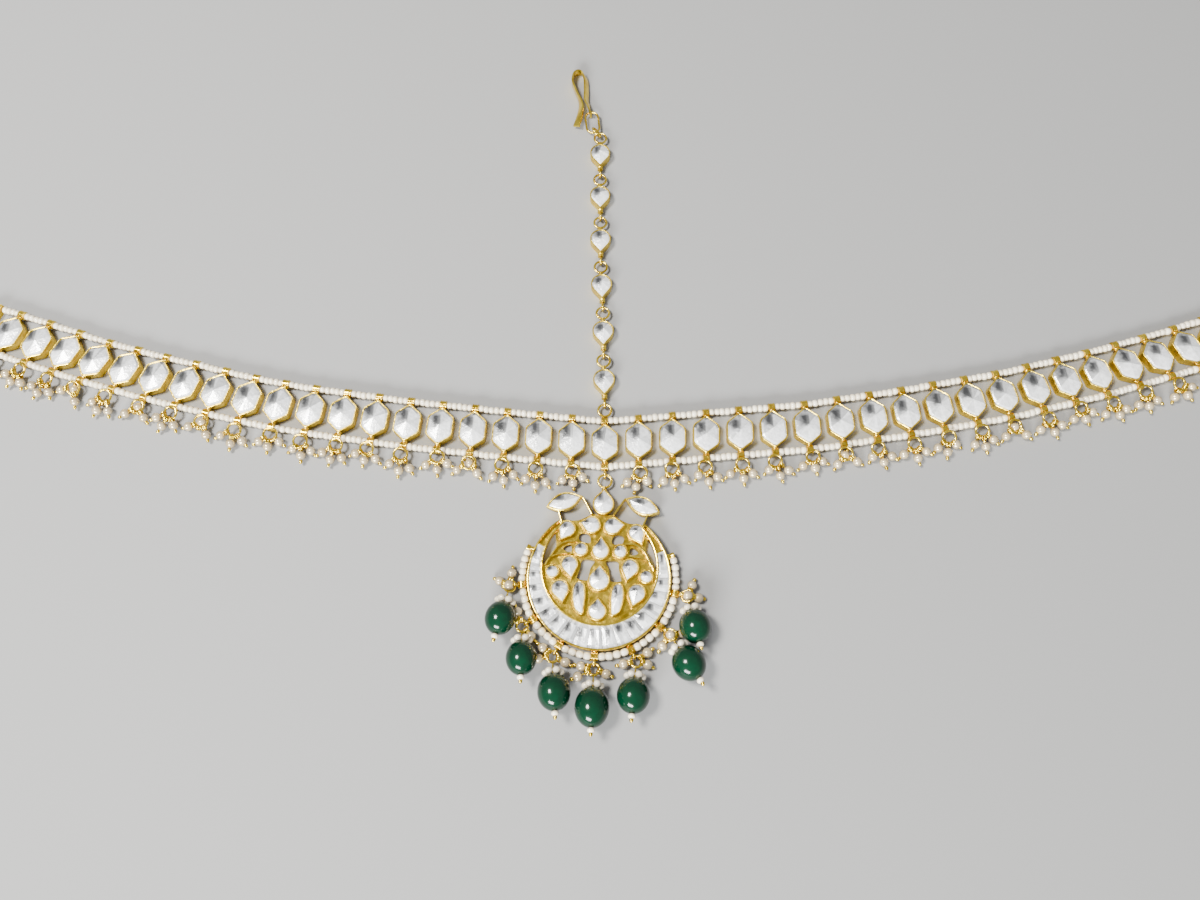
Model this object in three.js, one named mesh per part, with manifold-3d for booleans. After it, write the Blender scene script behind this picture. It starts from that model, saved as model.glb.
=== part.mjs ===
// Matha patti: a head jewel that lies flat. A band of hexagonal stones is carried between two strings
// of seed beads, a chain of pear stones runs up from its middle to a hook, and a crescent pendant with
// seven green drops hangs below it.
// Millimetres, +Z up, back of the jewel on z = 0, origin at the back of the band's middle stone.
import * as THREE from "three";
import { mergeVertices } from "three/addons/utils/BufferGeometryUtils.js";
import Module from "manifold-3d";

const wasm = await Module();
wasm.setup();

// ---------------------------------------------------------------- driving dimensions

// Stone settings, shared by the band, the chain and the pendant.
const RIM_HEIGHT = 2.7; // top of the gold wall
const RIM_WALL = 0.35; // thickness of the gold wall
const TABLE_HEIGHT = 3.2; // flat top of a stone
const CROWN_WIDTH = 1.0; // from the gold wall to the table

// Wire of the rings and eyes.
const WIRE = 0.32;
const WIRE_SIDES = 5;
const RING_STEPS = 10;
const RING_RADIUS = 1.8; // to the middle of the wire
const RING_Z = 1.45;
const EYE_RADIUS = 1.1; // half the height of an eye's plate
const EYE_HOLE = 0.8;
const EYE_THICK = 0.8;

// Hexagonal stone of the band, and the bored spacers above and below it.
const UNITS_EACH_SIDE = 19;
const HEX_HALF_WIDTH = 3.65;
const HEX_SHOULDER = 2.7;
const SPACER_REACH = 6.6; // from the stone's middle to a string
const SPACER_LENGTH = 1.8;
const SPACER_HALF = 1.25;
const SPACER_BORE = 0.98; // half the width of its square bore
const SPACER_FACE = 1.1; // from a string's middle into the spacer's wall
const HEX_HALF_HEIGHT = SPACER_REACH - SPACER_FACE;
const FRINGE_HEIGHT = 2.5;

// Strings of seed beads.
const STRING_Z = 1.42;
const STRING_RADIUS = 0.75;
const STRING_SIDES = 8;
const STRING_TAIL = 6.2; // beads past the last stone
const STRING_GAP = 0.3; // from a string's end to its clasp

// How the band lies: its middle line's rise at x, and how far its stones lean, in degrees.
const LAY = [
  { x: -190, rise: 39.6, lean: -18 },
  { x: -160, rise: 29.9, lean: -23 },
  { x: -145, rise: 24.9, lean: -30 },
  { x: -127, rise: 19.9, lean: -21 },
  { x: -100, rise: 13.2, lean: -16 },
  { x: -86, rise: 10.4, lean: -9.5 },
  { x: -56, rise: 6.1, lean: -6 },
  { x: -28, rise: 2.9, lean: -3.4 },
  { x: 0, rise: 0, lean: 0 },
  { x: 28, rise: 2.5, lean: -1.6 },
  { x: 56, rise: 5.0, lean: 2.8 },
  { x: 84, rise: 9.3, lean: 6 },
  { x: 112, rise: 14.4, lean: 11.5 },
  { x: 138, rise: 20.8, lean: 16.5 },
  { x: 157, rise: 26.2, lean: 26.5 },
  { x: 166, rise: 28.9, lean: 24 },
  { x: 194, rise: 38.0, lean: 18 },
];
const PITCH = { left: 9.12, right: 9.33 };

// Bundle of pearls below a stone, as half of its outline from the spacer down.
const FRINGE_OUTLINE = [
  { x: 0.8, y: -SPACER_REACH - SPACER_FACE },
  { x: 3.6, y: -11.7 },
  { x: 1.6, y: -14.1 },
];

// Clasp at each end of the band.
const CLASP_LENGTH = 9;
const CLASP_OUTER_WIDTH = 4.4;
const CLASP_HOLE = 1.2;
const CLASP_EDGE = 1.0;

// Chain of pear stones, from the band up. Each stone lies between the ring below it and its own.
const CHAIN_RING_Y = SPACER_REACH + SPACER_FACE + WIRE + RING_RADIUS;
const CHAIN_PITCH = 15.05;
const CHAIN_WANDER = [0, -0.3, -0.5, -1.1, -1.2, -1.3, -1.2]; // sideways place of each ring
const PEAR_WIDTH = 6.1;
const PEAR_LENGTH = 7.8;
const PEAR_Y = 8.2; // from the ring below to the stone's middle
const NECK_WIDTH = 1.0;
const JOINT_DEPTH = 0.3; // how far an eye or neck is let into its stone's wall

// Rings between the chain and the hook, and the hook itself; turns are in degrees, left of +Y.
const ROUND_RING = { reach: 2.3, radius: 1.7, turn: 29, tilt: 54 };
const OVAL_RING = { reach: 2.4, halfWidth: 2.0, halfLength: 3.8, turn: 6 };
const HOOK_STRIP = 0.6;
const HOOK_WIDTH = 2.4;
const HOOK_STEPS = 14;
const HOOK_PATH = [
  { x: -8.6, y: 104.6 },
  { x: -7.5, y: 109.2 },
  { x: -7.4, y: 113.4 },
  { x: -8.9, y: 117.8 },
  { x: -10.0, y: 121.6 },
  { x: -9.2, y: 124.8 },
  { x: -7.2, y: 125.2 },
  { x: -5.9, y: 122.6 },
  { x: -5.6, y: 118.4 },
  { x: -5.6, y: 114.6 },
  { x: -4.9, y: 112.2 },
  { x: -4.2, y: 108.6 },
];

// Pendant, in its own frame: origin at the middle of the crescent's outer edge, +Y towards its ring.
const PENDANT_EYE_Y = -8.9; // on the middle stone
const PENDANT_TURN = -3.35; // degrees
const PENDANT_RING_Y = 26.55;
const PENDANT_TIP_Y = 23.9;
const STONE_CROWN = 0.75;
const CRESCENT = { outer: 18.8, inner: 14.9, innerY: 2.9, from: 127, to: 413, height: 2.5 };
const CRESCENT_STEPS = 26;
const CRESCENT_STONES = { count: 17, from: 154, to: 386, endSpan: 23, gap: 0.12, girdle: 2.8, bevel: 0.5 };
const PLATE_HEIGHT = 1.2;
const PLATE_EDGE = { into: 0.4, steps: 10, turn: 6 }; // round edge, let into the crescent
const PLATE_OUTLINE = [
  { x: 14.3, y: 3.7 },
  { x: 12.7, y: 5.6 },
  { x: 11.8, y: 8.1 },
  { x: 12.3, y: 12.4 },
  { x: 10.8, y: 14.9 },
  { x: 6.6, y: 15.3 },
  { x: 2.9, y: 17.2 },
];
const PLATE_GAPS = [
  [
    { x: 2.8, y: 9.2 },
    { x: 5.7, y: 9.5 },
    { x: 6.1, y: 10.9 },
    { x: 5.6, y: 11.8 },
    { x: 3.8, y: 11.9 },
    { x: 2.8, y: 10.9 },
  ],
  [{ x: 7.5, y: 6.6 }, { x: 9.3, y: 6.7 }, { x: 10.2, y: 7.4 }, { x: 9.0, y: 8.4 }, { x: 7.8, y: 8.7 }],
  [
    { x: 1.2, y: 4.7 },
    { x: 2.5, y: 2.4 },
    { x: 2.9, y: -0.8 },
    { x: 5.0, y: -0.6 },
    { x: 6.0, y: -0.4 },
    { x: 5.5, y: 1.2 },
    { x: 5.0, y: 2.8 },
    { x: 5.0, y: 4.4 },
    { x: 4.2, y: 4.9 },
  ],
];
const WALLS = [
  { name: "upper arc", width: 0.5, path: [[13.3, 4.2], [12.3, 6.2], [10.9, 8.0], [8.5, 9.2], [5.9, 9.2]] },
  { name: "leaf stem", width: 0.8, path: [[6.9, 21.5], [5.7, 21.4], [2.7, 16.6]] },
  { name: "leaf root", width: 1.6, path: [[10.6, 13.9], [12.1, 18.0]] },
];
const WALL_HEIGHT = 2.4;
const LONG_STONE = [
  { x: 6.9, y: -5.0 },
  { x: 6.6, y: -2.0 },
  { x: 5.5, y: -0.8 },
  { x: 3.6, y: -1.6 },
  { x: 3.1, y: -4.6 },
  { x: 3.5, y: -10.2 },
  { x: 6.0, y: -8.9 },
];
// Stones of the pendant: point is the direction of the tip in degrees; a pair is on both sides.
const PENDANT_STONES = [
  { form: "pear", x: 0, y: 20.6, width: 5.8, length: 7.1, point: 90 },
  { form: "pear", x: 0, y: 8.0, width: 4.7, length: 6.4, point: 90 },
  { form: "pear", x: 0, y: 0.0, width: 5.7, length: 7.0, point: 90 },
  { form: "pear", x: 0, y: -8.1, width: 4.9, length: 6.1, point: 90 },
  { form: "pear", x: 3.2, y: 14.1, width: 4.8, length: 5.8, point: 8, pair: true },
  { form: "pear", x: 9.5, y: 12.0, width: 4.6, length: 6.0, point: -62, pair: true },
  { form: "pear", x: 7.8, y: 2.4, width: 4.7, length: 6.3, point: -101, pair: true },
  { form: "pear", x: 9.8, y: -4.1, width: 4.9, length: 6.4, point: -105, pair: true },
  { form: "round", x: 5.2, y: 7.3, width: 3.9, pair: true },
  { form: "round", x: 12.3, y: 1.0, width: 3.8, pair: true },
  { form: "leaf", x: 10.5, y: 20.0, width: 4.9, length: 9.9, point: -20, pair: true },
];

// Seed strand round the crescent, its gold posts, and the eyes that carry the drops.
const STRAND_RADIUS = 20.1;
const STRAND_END = 110.5; // degrees from the lowest point
const STRAND_STEPS = 16;
const POST_COUNT = 7;
const POST_STEP = 27.2; // degrees
const POST_ROOT = 0.5; // from the crescent's edge into its wall
const END_POST = { halfWidth: 0.6, reach: 1.0 }; // at each end of the strand
const DROP_EYE_RADIUS = 21.9;

// Green drops from left to right: direction and reach from the ring's middle to the bead's.
const DROPS = [
  { direction: -99, reach: 8.8, width: 7.9, length: 8.9 },
  { direction: -85, reach: 8.2, width: 7.9, length: 8.9 },
  { direction: -82, reach: 8.9, width: 8.4, length: 9.5 },
  { direction: -89, reach: 9.3, width: 8.7, length: 10.2 },
  { direction: -93, reach: 8.5, width: 8.3, length: 9.2 },
  { direction: -56, reach: 8.5, width: 8.5, length: 9.2 },
  { direction: -76, reach: 8.2, width: 8.2, length: 8.9 },
];
const DROP_RING_RADIUS = 1.5;
const DROP_RING_LIFT = 16; // degrees, from the eye up to the drop
const DROP_CLEARANCE = 0.2; // extra height for a bead that leans
const DROP_SIDES = 10;
const DROP_SEED_RADIUS = 1.0;
const DROP_SEED_LENGTH = 1.6;
const DROP_PIN_LENGTH = 1.1;
const DROP_CROWN_RADIUS = 2.1;
const DROP_CROWN = { below: 0.9, above: 0.5 }; // heights of the crown's edge round the bead's top
const DROP_SHOULDER = 0.43; // of the width, a quarter of the length from the bead's middle
const DROP_START = -0.15; // let into the ring's wire

// ---------------------------------------------------------------- materials

const gold = () => new THREE.MeshStandardMaterial({ color: 0xd8a431, metalness: 1, roughness: 0.32 });
const seed = () => new THREE.MeshStandardMaterial({ color: 0xf0e9dc, metalness: 0, roughness: 0.35 });
const green = () => new THREE.MeshStandardMaterial({ color: 0x0b5a37, metalness: 0, roughness: 0.12 });

// ---------------------------------------------------------------- shapes and solids

const radians = THREE.MathUtils.degToRad;
const flip = (points) => points.map(({ x, y }) => new THREE.Vector2(-x, y)).reverse();
const vectors = (points) => points.map(({ x, y }) => new THREE.Vector2(x, y));

// A geometry as a manifold-3d solid.
function solid(geometry) {
  const loose = geometry.index ? geometry.toNonIndexed() : geometry;
  const bare = new THREE.BufferGeometry().setAttribute("position", loose.getAttribute("position"));
  const merged = mergeVertices(bare, 1e-4);
  return new wasm.Manifold(
    new wasm.Mesh({
      numProp: 3,
      vertProperties: merged.attributes.position.array,
      triVerts: new Uint32Array(merged.index.array),
    }),
  );
}

// Several geometries joined into one solid.
function fuse(geometries) {
  return geometries.map(solid).reduce((joined, next) => joined.add(next));
}

// A solid as a named mesh.
function meshOf(name, body, material) {
  const { numProp, vertProperties, triVerts } = body.getMesh();
  const positions = [];
  for (let i = 0; i < vertProperties.length; i += numProp) {
    positions.push(...vertProperties.subarray(i, i + 3));
  }
  const geometry = new THREE.BufferGeometry();
  geometry.setAttribute("position", new THREE.Float32BufferAttribute(positions, 3));
  geometry.setIndex([...triVerts]);
  geometry.computeVertexNormals();
  const mesh = new THREE.Mesh(geometry, material);
  mesh.name = name;
  return mesh;
}

// A closed body through levels { outline, z } of equal point counts, from the lowest to the highest.
function loft(levels) {
  const count = levels[0].outline.length;
  const positions = levels.flatMap(({ outline, z }) => outline.flatMap((p) => [p.x, p.y, z]));
  const index = [];
  for (let row = 0; row < levels.length - 1; row += 1) {
    for (let k = 0; k < count; k += 1) {
      const a = row * count + k;
      const b = row * count + ((k + 1) % count);
      index.push(a, b, a + count, b, b + count, a + count);
    }
  }
  const top = (levels.length - 1) * count;
  for (const [a, b, c] of THREE.ShapeUtils.triangulateShape(levels[0].outline, [])) {
    index.push(a, c, b);
  }
  for (const [a, b, c] of THREE.ShapeUtils.triangulateShape(levels.at(-1).outline, [])) {
    index.push(top + a, top + b, top + c);
  }
  const geometry = new THREE.BufferGeometry();
  geometry.setAttribute("position", new THREE.Float32BufferAttribute(positions, 3));
  geometry.setIndex(index);
  return geometry;
}

// An outline moved inwards by a distance; the outline runs anticlockwise.
function inset(outline, distance) {
  const count = outline.length;
  return outline.map((point, k) => {
    const before = outline[(k + count - 1) % count];
    const after = outline[(k + 1) % count];
    const inA = new THREE.Vector2(before.y - point.y, point.x - before.x).normalize();
    const inB = new THREE.Vector2(point.y - after.y, after.x - point.x).normalize();
    const share = distance / (1 + inA.dot(inB));
    return point.clone().addScaledVector(inA.add(inB), share);
  });
}

// A stone in its gold wall: each side of the outline carries two crown facets below a flat table.
function setting(outline, base = 0, crown = CROWN_WIDTH) {
  const within = inset(outline, RIM_WALL + crown);
  const table = within.map((p, k) => p.clone().lerp(within[(k + 1) % within.length], 0.5));
  return loft([
    { outline, z: base },
    { outline, z: RIM_HEIGHT },
    { outline: inset(outline, RIM_WALL), z: RIM_HEIGHT },
    { outline: table, z: TABLE_HEIGHT },
  ]);
}

// A flat piece between two heights, with holes if it has any.
function slab(outline, from, to, holes = []) {
  const shape = new THREE.Shape(outline);
  shape.holes = holes.map((hole) => new THREE.Path(hole));
  const geometry = new THREE.ExtrudeGeometry(shape, { depth: to - from, bevelEnabled: false });
  return geometry.translate(0, 0, from);
}

const circle = (radius, sides, x = 0, y = 0) =>
  Array.from({ length: sides }, (_, k) => {
    const angle = ((k + 0.5) / sides) * 2 * Math.PI;
    return new THREE.Vector2(x + radius * Math.cos(angle), y + radius * Math.sin(angle));
  });

const square = (half) => circle(half * Math.SQRT2, 4);

const hexagon = () =>
  vectors([
    { x: HEX_HALF_WIDTH, y: -HEX_SHOULDER },
    { x: HEX_HALF_WIDTH, y: HEX_SHOULDER },
    { x: 0, y: HEX_HALF_HEIGHT },
    { x: -HEX_HALF_WIDTH, y: HEX_SHOULDER },
    { x: -HEX_HALF_WIDTH, y: -HEX_SHOULDER },
    { x: 0, y: -HEX_HALF_HEIGHT },
  ]);

// A pear with its tip towards +Y, centred on half its length.
function pear(width, length, points = 8) {
  const radius = width / 2;
  const reach = length - radius;
  const touch = Math.acos(radius / reach);
  const outline = [new THREE.Vector2(0, length / 2)];
  for (let k = 0; k < points - 1; k += 1) {
    const angle = Math.PI / 2 + touch + (k / (points - 2)) * 2 * (Math.PI - touch);
    const y = radius - length / 2 + radius * Math.sin(angle);
    outline.push(new THREE.Vector2(radius * Math.cos(angle), y));
  }
  return outline;
}

// A pointed leaf with its tips along Y.
function leaf(width, length, points = 8) {
  const side = (sign) =>
    Array.from({ length: points / 2 }, (_, k) => {
      const y = sign * length * (0.5 - (2 * k) / points);
      return new THREE.Vector2((-sign * width * (1 - (2 * y) ** 2 / length ** 2)) / 2, y);
    });
  return [...side(1), ...side(-1)];
}

// A strip of even width along a path of points, as an outline.
function strip(path, width) {
  const along = path.map((point, k) => {
    const before = path[Math.max(k - 1, 0)];
    const after = path[Math.min(k + 1, path.length - 1)];
    return new THREE.Vector2().subVectors(after, before).normalize();
  });
  const side = (sign) =>
    path.map((point, k) => {
      const across = new THREE.Vector2(-along[k].y, along[k].x);
      return point.clone().addScaledVector(across, (sign * width) / 2);
    });
  const outline = [...side(1), ...side(-1).reverse()];
  return THREE.ShapeUtils.area(outline) < 0 ? outline.reverse() : outline;
}

// A round ring of wire, lying flat.
const ring = (radius, x, y) =>
  new THREE.TorusGeometry(radius, WIRE, WIRE_SIDES, RING_STEPS)
    .rotateZ(Math.PI / RING_STEPS)
    .translate(x, y, RING_Z);

// A long ring of wire, lying flat, longer along Y.
function ovalRing(halfWidth, halfLength) {
  const straight = halfLength - halfWidth;
  const sections = circle(halfWidth, 2 * RING_STEPS - 4).map((p) => {
    const centre = new THREE.Vector3(p.x, p.y + Math.sign(p.y) * straight, RING_Z);
    const out = new THREE.Vector3(p.x, p.y, 0).normalize();
    return circle(WIRE, WIRE_SIDES).map((s) => centre.clone().addScaledVector(out, s.x).setZ(RING_Z + s.y));
  });
  const index = [];
  const at = (k, s) => (k % sections.length) * WIRE_SIDES + (s % WIRE_SIDES);
  for (let k = 0; k < sections.length; k += 1) {
    for (let s = 0; s < WIRE_SIDES; s += 1) {
      index.push(at(k, s), at(k + 1, s), at(k, s + 1));
      index.push(at(k, s + 1), at(k + 1, s), at(k + 1, s + 1));
    }
  }
  const geometry = new THREE.BufferGeometry().setFromPoints(sections.flat());
  geometry.setIndex(index);
  return geometry;
}

// An upright plate in the plane of Y and Z with a hole at y = 0 for a flat ring to pass through;
// it reaches up to a length along +Y.
function eye(length) {
  const corner = EYE_RADIUS * Math.tan(Math.PI / 8);
  const outline = vectors([
    { x: -EYE_RADIUS, y: length },
    { x: -EYE_RADIUS, y: -corner },
    { x: -corner, y: -EYE_RADIUS },
    { x: corner, y: -EYE_RADIUS },
    { x: EYE_RADIUS, y: -corner },
    { x: EYE_RADIUS, y: length },
  ]);
  const plate = slab(outline, -EYE_THICK / 2, EYE_THICK / 2, [circle(EYE_HOLE, 6).reverse()]);
  return plate.rotateY(Math.PI / 2).translate(0, 0, RING_Z);
}

// A plain block between two corners.
function block(x0, y0, z0, x1, y1, z1) {
  const box = new THREE.BoxGeometry(x1 - x0, y1 - y0, z1 - z0);
  return box.translate((x0 + x1) / 2, (y0 + y1) / 2, (z0 + z1) / 2);
}

// The short bar along Y between a stone and its ring.
const neck = (from, to) => {
  const half = NECK_WIDTH / 2;
  return block(-half, from, RING_Z - half, half, to, RING_Z + half);
};

// The path of a string of beads: straight from one spacer to the next.
class BeadPath extends THREE.Curve {
  constructor(points) {
    super();
    this.points = points;
  }

  getPoint(share, target = new THREE.Vector3()) {
    const along = share * (this.points.length - 1);
    const k = Math.min(Math.floor(along), this.points.length - 2);
    return target.lerpVectors(this.points[k], this.points[k + 1], along - k);
  }

  getPointAt(share, target) {
    return this.getPoint(share, target);
  }

  getTangentAt(share, target = new THREE.Vector3()) {
    const k = Math.round(share * (this.points.length - 1));
    const before = this.points[Math.max(k - 1, 0)];
    const after = this.points[Math.min(k + 1, this.points.length - 1)];
    return target.subVectors(after, before).normalize();
  }
}

// A tube along points, for a string of beads.
function stringTube(points) {
  return new THREE.ExtrudeGeometry(new THREE.Shape(circle(STRING_RADIUS, STRING_SIDES)), {
    steps: points.length - 1,
    bevelEnabled: false,
    extrudePath: new BeadPath(points),
  });
}

// ---------------------------------------------------------------- how the band lies

function layAt(x) {
  const next = Math.max(1, LAY.findIndex((row) => row.x >= x));
  const [a, b] = [LAY[next - 1], LAY[next]];
  const share = (x - a.x) / (b.x - a.x);
  return {
    rise: THREE.MathUtils.lerp(a.rise, b.rise, share),
    lean: radians(THREE.MathUtils.lerp(a.lean, b.lean, share)),
    slope: Math.atan2(b.rise - a.rise, b.x - a.x),
  };
}

// A place on the band: distance from the middle is counted along it, in pitches.
function placesOf(side) {
  const pitch = side < 0 ? PITCH.left : PITCH.right;
  const places = [];
  let x = 0;
  for (let n = 1; n <= UNITS_EACH_SIDE; n += 1) {
    x += side * pitch * Math.cos(layAt(x).slope);
    places.push({ name: `${side < 0 ? "left" : "right"}_${n}`, x, y: layAt(x).rise, lean: layAt(x).lean });
  }
  return places;
}

const units = [
  ...placesOf(-1).reverse(),
  { name: "middle", x: 0, y: 0, lean: 0 },
  ...placesOf(1),
];

// A point of a unit's own frame, in the frame of the whole.
const fromUnit = (unit, x, y, z) =>
  new THREE.Vector3(x, y, z).applyAxisAngle(new THREE.Vector3(0, 0, 1), unit.lean)
    .add(new THREE.Vector3(unit.x, unit.y, 0));

// Where a string crosses each unit, with a tail past each end.
function stringPoints(reach) {
  const points = units.map((unit) => fromUnit(unit, 0, reach, STRING_Z));
  const tail = (last, inner) => last.clone().add(last.clone().sub(inner).setLength(STRING_TAIL));
  return [tail(points[0], points[1]), ...points, tail(points.at(-1), points.at(-2))];
}

const strings = { upper: stringPoints(SPACER_REACH), lower: stringPoints(-SPACER_REACH) };

// ---------------------------------------------------------------- the band

// A bored spacer of a unit, in line with its string.
function spacer(unit, index, points, reach) {
  const run = points[index + 2].clone().sub(points[index]);
  const outline = square(SPACER_HALF);
  const half = SPACER_LENGTH / 2;
  return slab(outline, -half, half, [square(SPACER_BORE).reverse()])
    .rotateY(Math.PI / 2)
    .rotateZ(Math.atan2(run.y, run.x) - unit.lean)
    .translate(0, reach, STRING_Z);
}

// Stone in its setting with both spacers. The middle unit carries the chain's ring and the
// pendant's eye, every other one a bundle of pearls.
function stoneUnit(unit, index) {
  const pieces = [
    setting(hexagon()),
    spacer(unit, index, strings.upper, SPACER_REACH),
    spacer(unit, index, strings.lower, -SPACER_REACH),
  ];
  if (unit.name === "middle") {
    const seat = -SPACER_REACH - SPACER_FACE - PENDANT_EYE_Y;
    pieces.push(ring(RING_RADIUS, 0, CHAIN_RING_Y), eye(seat).translate(0, PENDANT_EYE_Y, 0));
  } else {
    const half = vectors(FRINGE_OUTLINE);
    pieces.push(slab([...flip(FRINGE_OUTLINE), ...half], 0, FRINGE_HEIGHT));
  }
  const mesh = meshOf(`stone_unit_${unit.name}`, fuse(pieces), gold());
  mesh.position.set(unit.x, unit.y, 0);
  mesh.rotation.z = unit.lean;
  return mesh;
}

// One string of seed beads.
function beadString(name, points) {
  return meshOf(name, solid(stringTube(points)), seed());
}

// Plain tapered end piece that both strings end against, with a hole for a pin or ribbon.
function endClasp(name, upper, lower, side) {
  const inner = SPACER_REACH + SPACER_HALF;
  const outline = vectors([
    { x: STRING_GAP, y: -inner },
    { x: CLASP_LENGTH, y: -CLASP_OUTER_WIDTH / 2 },
    { x: CLASP_LENGTH, y: CLASP_OUTER_WIDTH / 2 },
    { x: STRING_GAP, y: inner },
  ]);
  const hole = circle(CLASP_HOLE, 10, CLASP_LENGTH - CLASP_HOLE - CLASP_EDGE).reverse();
  const mesh = meshOf(name, solid(slab(outline, 0, RIM_HEIGHT, [hole])), gold());
  const across = upper.clone().sub(lower);
  mesh.position.copy(upper).lerp(lower, 0.5).setZ(0);
  mesh.rotation.z = Math.atan2(across.y, across.x) - (side * Math.PI) / 2;
  return mesh;
}

// ---------------------------------------------------------------- the chain and its hook

// Pear stone with the eye below it and the ring above it; its frame's origin is the ring below.
function pearLink(name, from, to) {
  const stone = pear(PEAR_WIDTH, PEAR_LENGTH).map((p) => new THREE.Vector2(-p.x, PEAR_Y - p.y));
  const reach = from.distanceTo(to);
  const seat = PEAR_LENGTH / 2 - JOINT_DEPTH;
  const mesh = meshOf(
    name,
    fuse([
      setting(stone),
      eye(PEAR_Y - seat - RING_RADIUS).translate(0, RING_RADIUS, 0),
      ring(RING_RADIUS, 0, reach),
      neck(PEAR_Y + seat, reach - RING_RADIUS),
    ]),
    gold(),
  );
  mesh.position.set(from.x, from.y, 0);
  mesh.rotation.z = Math.atan2(to.y - from.y, to.x - from.x) - Math.PI / 2;
  return mesh;
}

// A place reached from another, at a distance and turned left of +Y.
const stepFrom = (point, reach, turn) =>
  point.clone().add(new THREE.Vector2(0, reach).rotateAround(new THREE.Vector2(), radians(turn)));

// Round ring that leans, so that it threads the flat rings on both sides of it.
function leaningRing(name, centre) {
  const { radius, turn, tilt } = ROUND_RING;
  const mesh = meshOf(name, solid(ring(radius, 0, 0).translate(0, 0, -RING_Z)), gold());
  mesh.rotation.y = radians(tilt);
  const group = new THREE.Group();
  group.add(mesh);
  group.position.set(centre.x, centre.y, radius * Math.sin(radians(tilt)) + WIRE);
  group.rotation.z = radians(turn);
  return group;
}

function flatOvalRing(name, centre) {
  const mesh = meshOf(name, solid(ovalRing(OVAL_RING.halfWidth, OVAL_RING.halfLength)), gold());
  mesh.position.set(centre.x, centre.y, 0);
  mesh.rotation.z = radians(OVAL_RING.turn);
  return mesh;
}

// Hook bent from a flat strip that stands on its edge, its end bored for the oval ring.
function hairHook(name, hole) {
  const curve = new THREE.CatmullRomCurve3(HOOK_PATH.map(({ x, y }) => new THREE.Vector3(x, y, 0)));
  const path = curve.getSpacedPoints(HOOK_STEPS).map(({ x, y }) => new THREE.Vector2(x, y));
  const edge = RING_Z - HOOK_WIDTH / 2;
  const drill = new THREE.CylinderGeometry(EYE_HOLE, EYE_HOLE, 2, 10);
  drill.rotateZ(Math.PI / 2).translate(hole.x, hole.y, RING_Z);
  const bent = solid(slab(strip(path, HOOK_STRIP), edge, edge + HOOK_WIDTH));
  return meshOf(name, bent.subtract(solid(drill)), gold());
}

// ---------------------------------------------------------------- the pendant

const polar = (radius, degrees) => {
  const angle = radians(degrees);
  return new THREE.Vector2(radius * Math.cos(angle), radius * Math.sin(angle));
};

// Radius of the crescent's inner edge in a direction from the middle of its outer edge.
function innerRadius(degrees) {
  const rise = CRESCENT.innerY * Math.sin(radians(degrees));
  return rise + Math.sqrt(rise ** 2 - CRESCENT.innerY ** 2 + CRESCENT.inner ** 2);
}

function crescentBody() {
  const span = CRESCENT.to - CRESCENT.from;
  const at = (k) => CRESCENT.from + (k / CRESCENT_STEPS) * span;
  const stations = Array.from({ length: CRESCENT_STEPS + 1 }, (_, k) => at(k));
  const outer = stations.map((degrees) => polar(CRESCENT.outer, degrees));
  const inner = stations.map((degrees) => polar(innerRadius(degrees), degrees)).reverse();
  return slab([...outer, ...inner], 0, CRESCENT.height);
}

// Tapered stones side by side in the crescent, the two at its tips longer.
function crescentStones() {
  const { count, from, to, endSpan, gap } = CRESCENT_STONES;
  const span = (to - from - 2 * endSpan) / (count - 2);
  const bounds = [from, ...Array.from({ length: count - 1 }, (_, k) => from + endSpan + k * span), to];
  return bounds.slice(1).map((end, k) => {
    const start = bounds[k];
    const corners = [start, end].map((degrees) => ({
      inner: polar(innerRadius(degrees) + RIM_WALL, degrees),
      outer: polar(CRESCENT.outer - RIM_WALL, degrees),
    }));
    const outline = inset([corners[0].outer, corners[1].outer, corners[1].inner, corners[0].inner], gap);
    return loft([
      { outline, z: PLATE_HEIGHT },
      { outline, z: CRESCENT_STONES.girdle },
      { outline: inset(outline, CRESCENT_STONES.bevel), z: TABLE_HEIGHT },
    ]);
  });
}

// Floor behind the stones inside the crescent, pierced where it shows daylight.
function plateOutline() {
  const { into, steps, turn } = PLATE_EDGE;
  const right = vectors(PLATE_OUTLINE);
  const start = right[0];
  const centre = new THREE.Vector2(0, CRESCENT.innerY);
  const radius = CRESCENT.inner + into;
  const first = Math.atan2(start.y - centre.y, start.x - centre.x) - radians(turn);
  const low = Array.from({ length: steps + 1 }, (_, k) => {
    const angle = Math.PI - first + (k / steps) * (Math.PI + 2 * first);
    return new THREE.Vector2(centre.x + radius * Math.cos(angle), centre.y + radius * Math.sin(angle));
  });
  return [...low, ...right, ...flip(PLATE_OUTLINE)];
}

const bothSides = (points) => [vectors(points), flip(points)];

function stoneOutline({ form, width, length, point = 0, x, y }) {
  const outlines = {
    pear: () => pear(width, length),
    leaf: () => leaf(width, length),
    round: () => circle(width / 2, 8),
  };
  const turn = radians(point - 90);
  const place = new THREE.Vector2(x, y);
  return outlines[form]().map((p) => p.rotateAround(new THREE.Vector2(), turn).add(place));
}

function pendantStones() {
  const outlines = PENDANT_STONES.flatMap((stone) => {
    const outline = stoneOutline(stone);
    return stone.pair ? [outline, flip(outline)] : [outline];
  });
  outlines.push(...bothSides(LONG_STONE));
  return outlines.map((outline) => setting(outline, PLATE_HEIGHT / 2, STONE_CROWN));
}

function pendantWalls() {
  return WALLS.flatMap(({ width, path }) => {
    const outline = strip(path.map(([x, y]) => new THREE.Vector2(x, y)), width);
    const anticlockwise = THREE.ShapeUtils.area(outline) > 0 ? outline : outline.reverse();
    return [anticlockwise, flip(anticlockwise)].map((side) => slab(side, 0, WALL_HEIGHT));
  });
}

const postAngles = Array.from(
  { length: POST_COUNT },
  (_, k) => 270 + (k - (POST_COUNT - 1) / 2) * POST_STEP,
);

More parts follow.
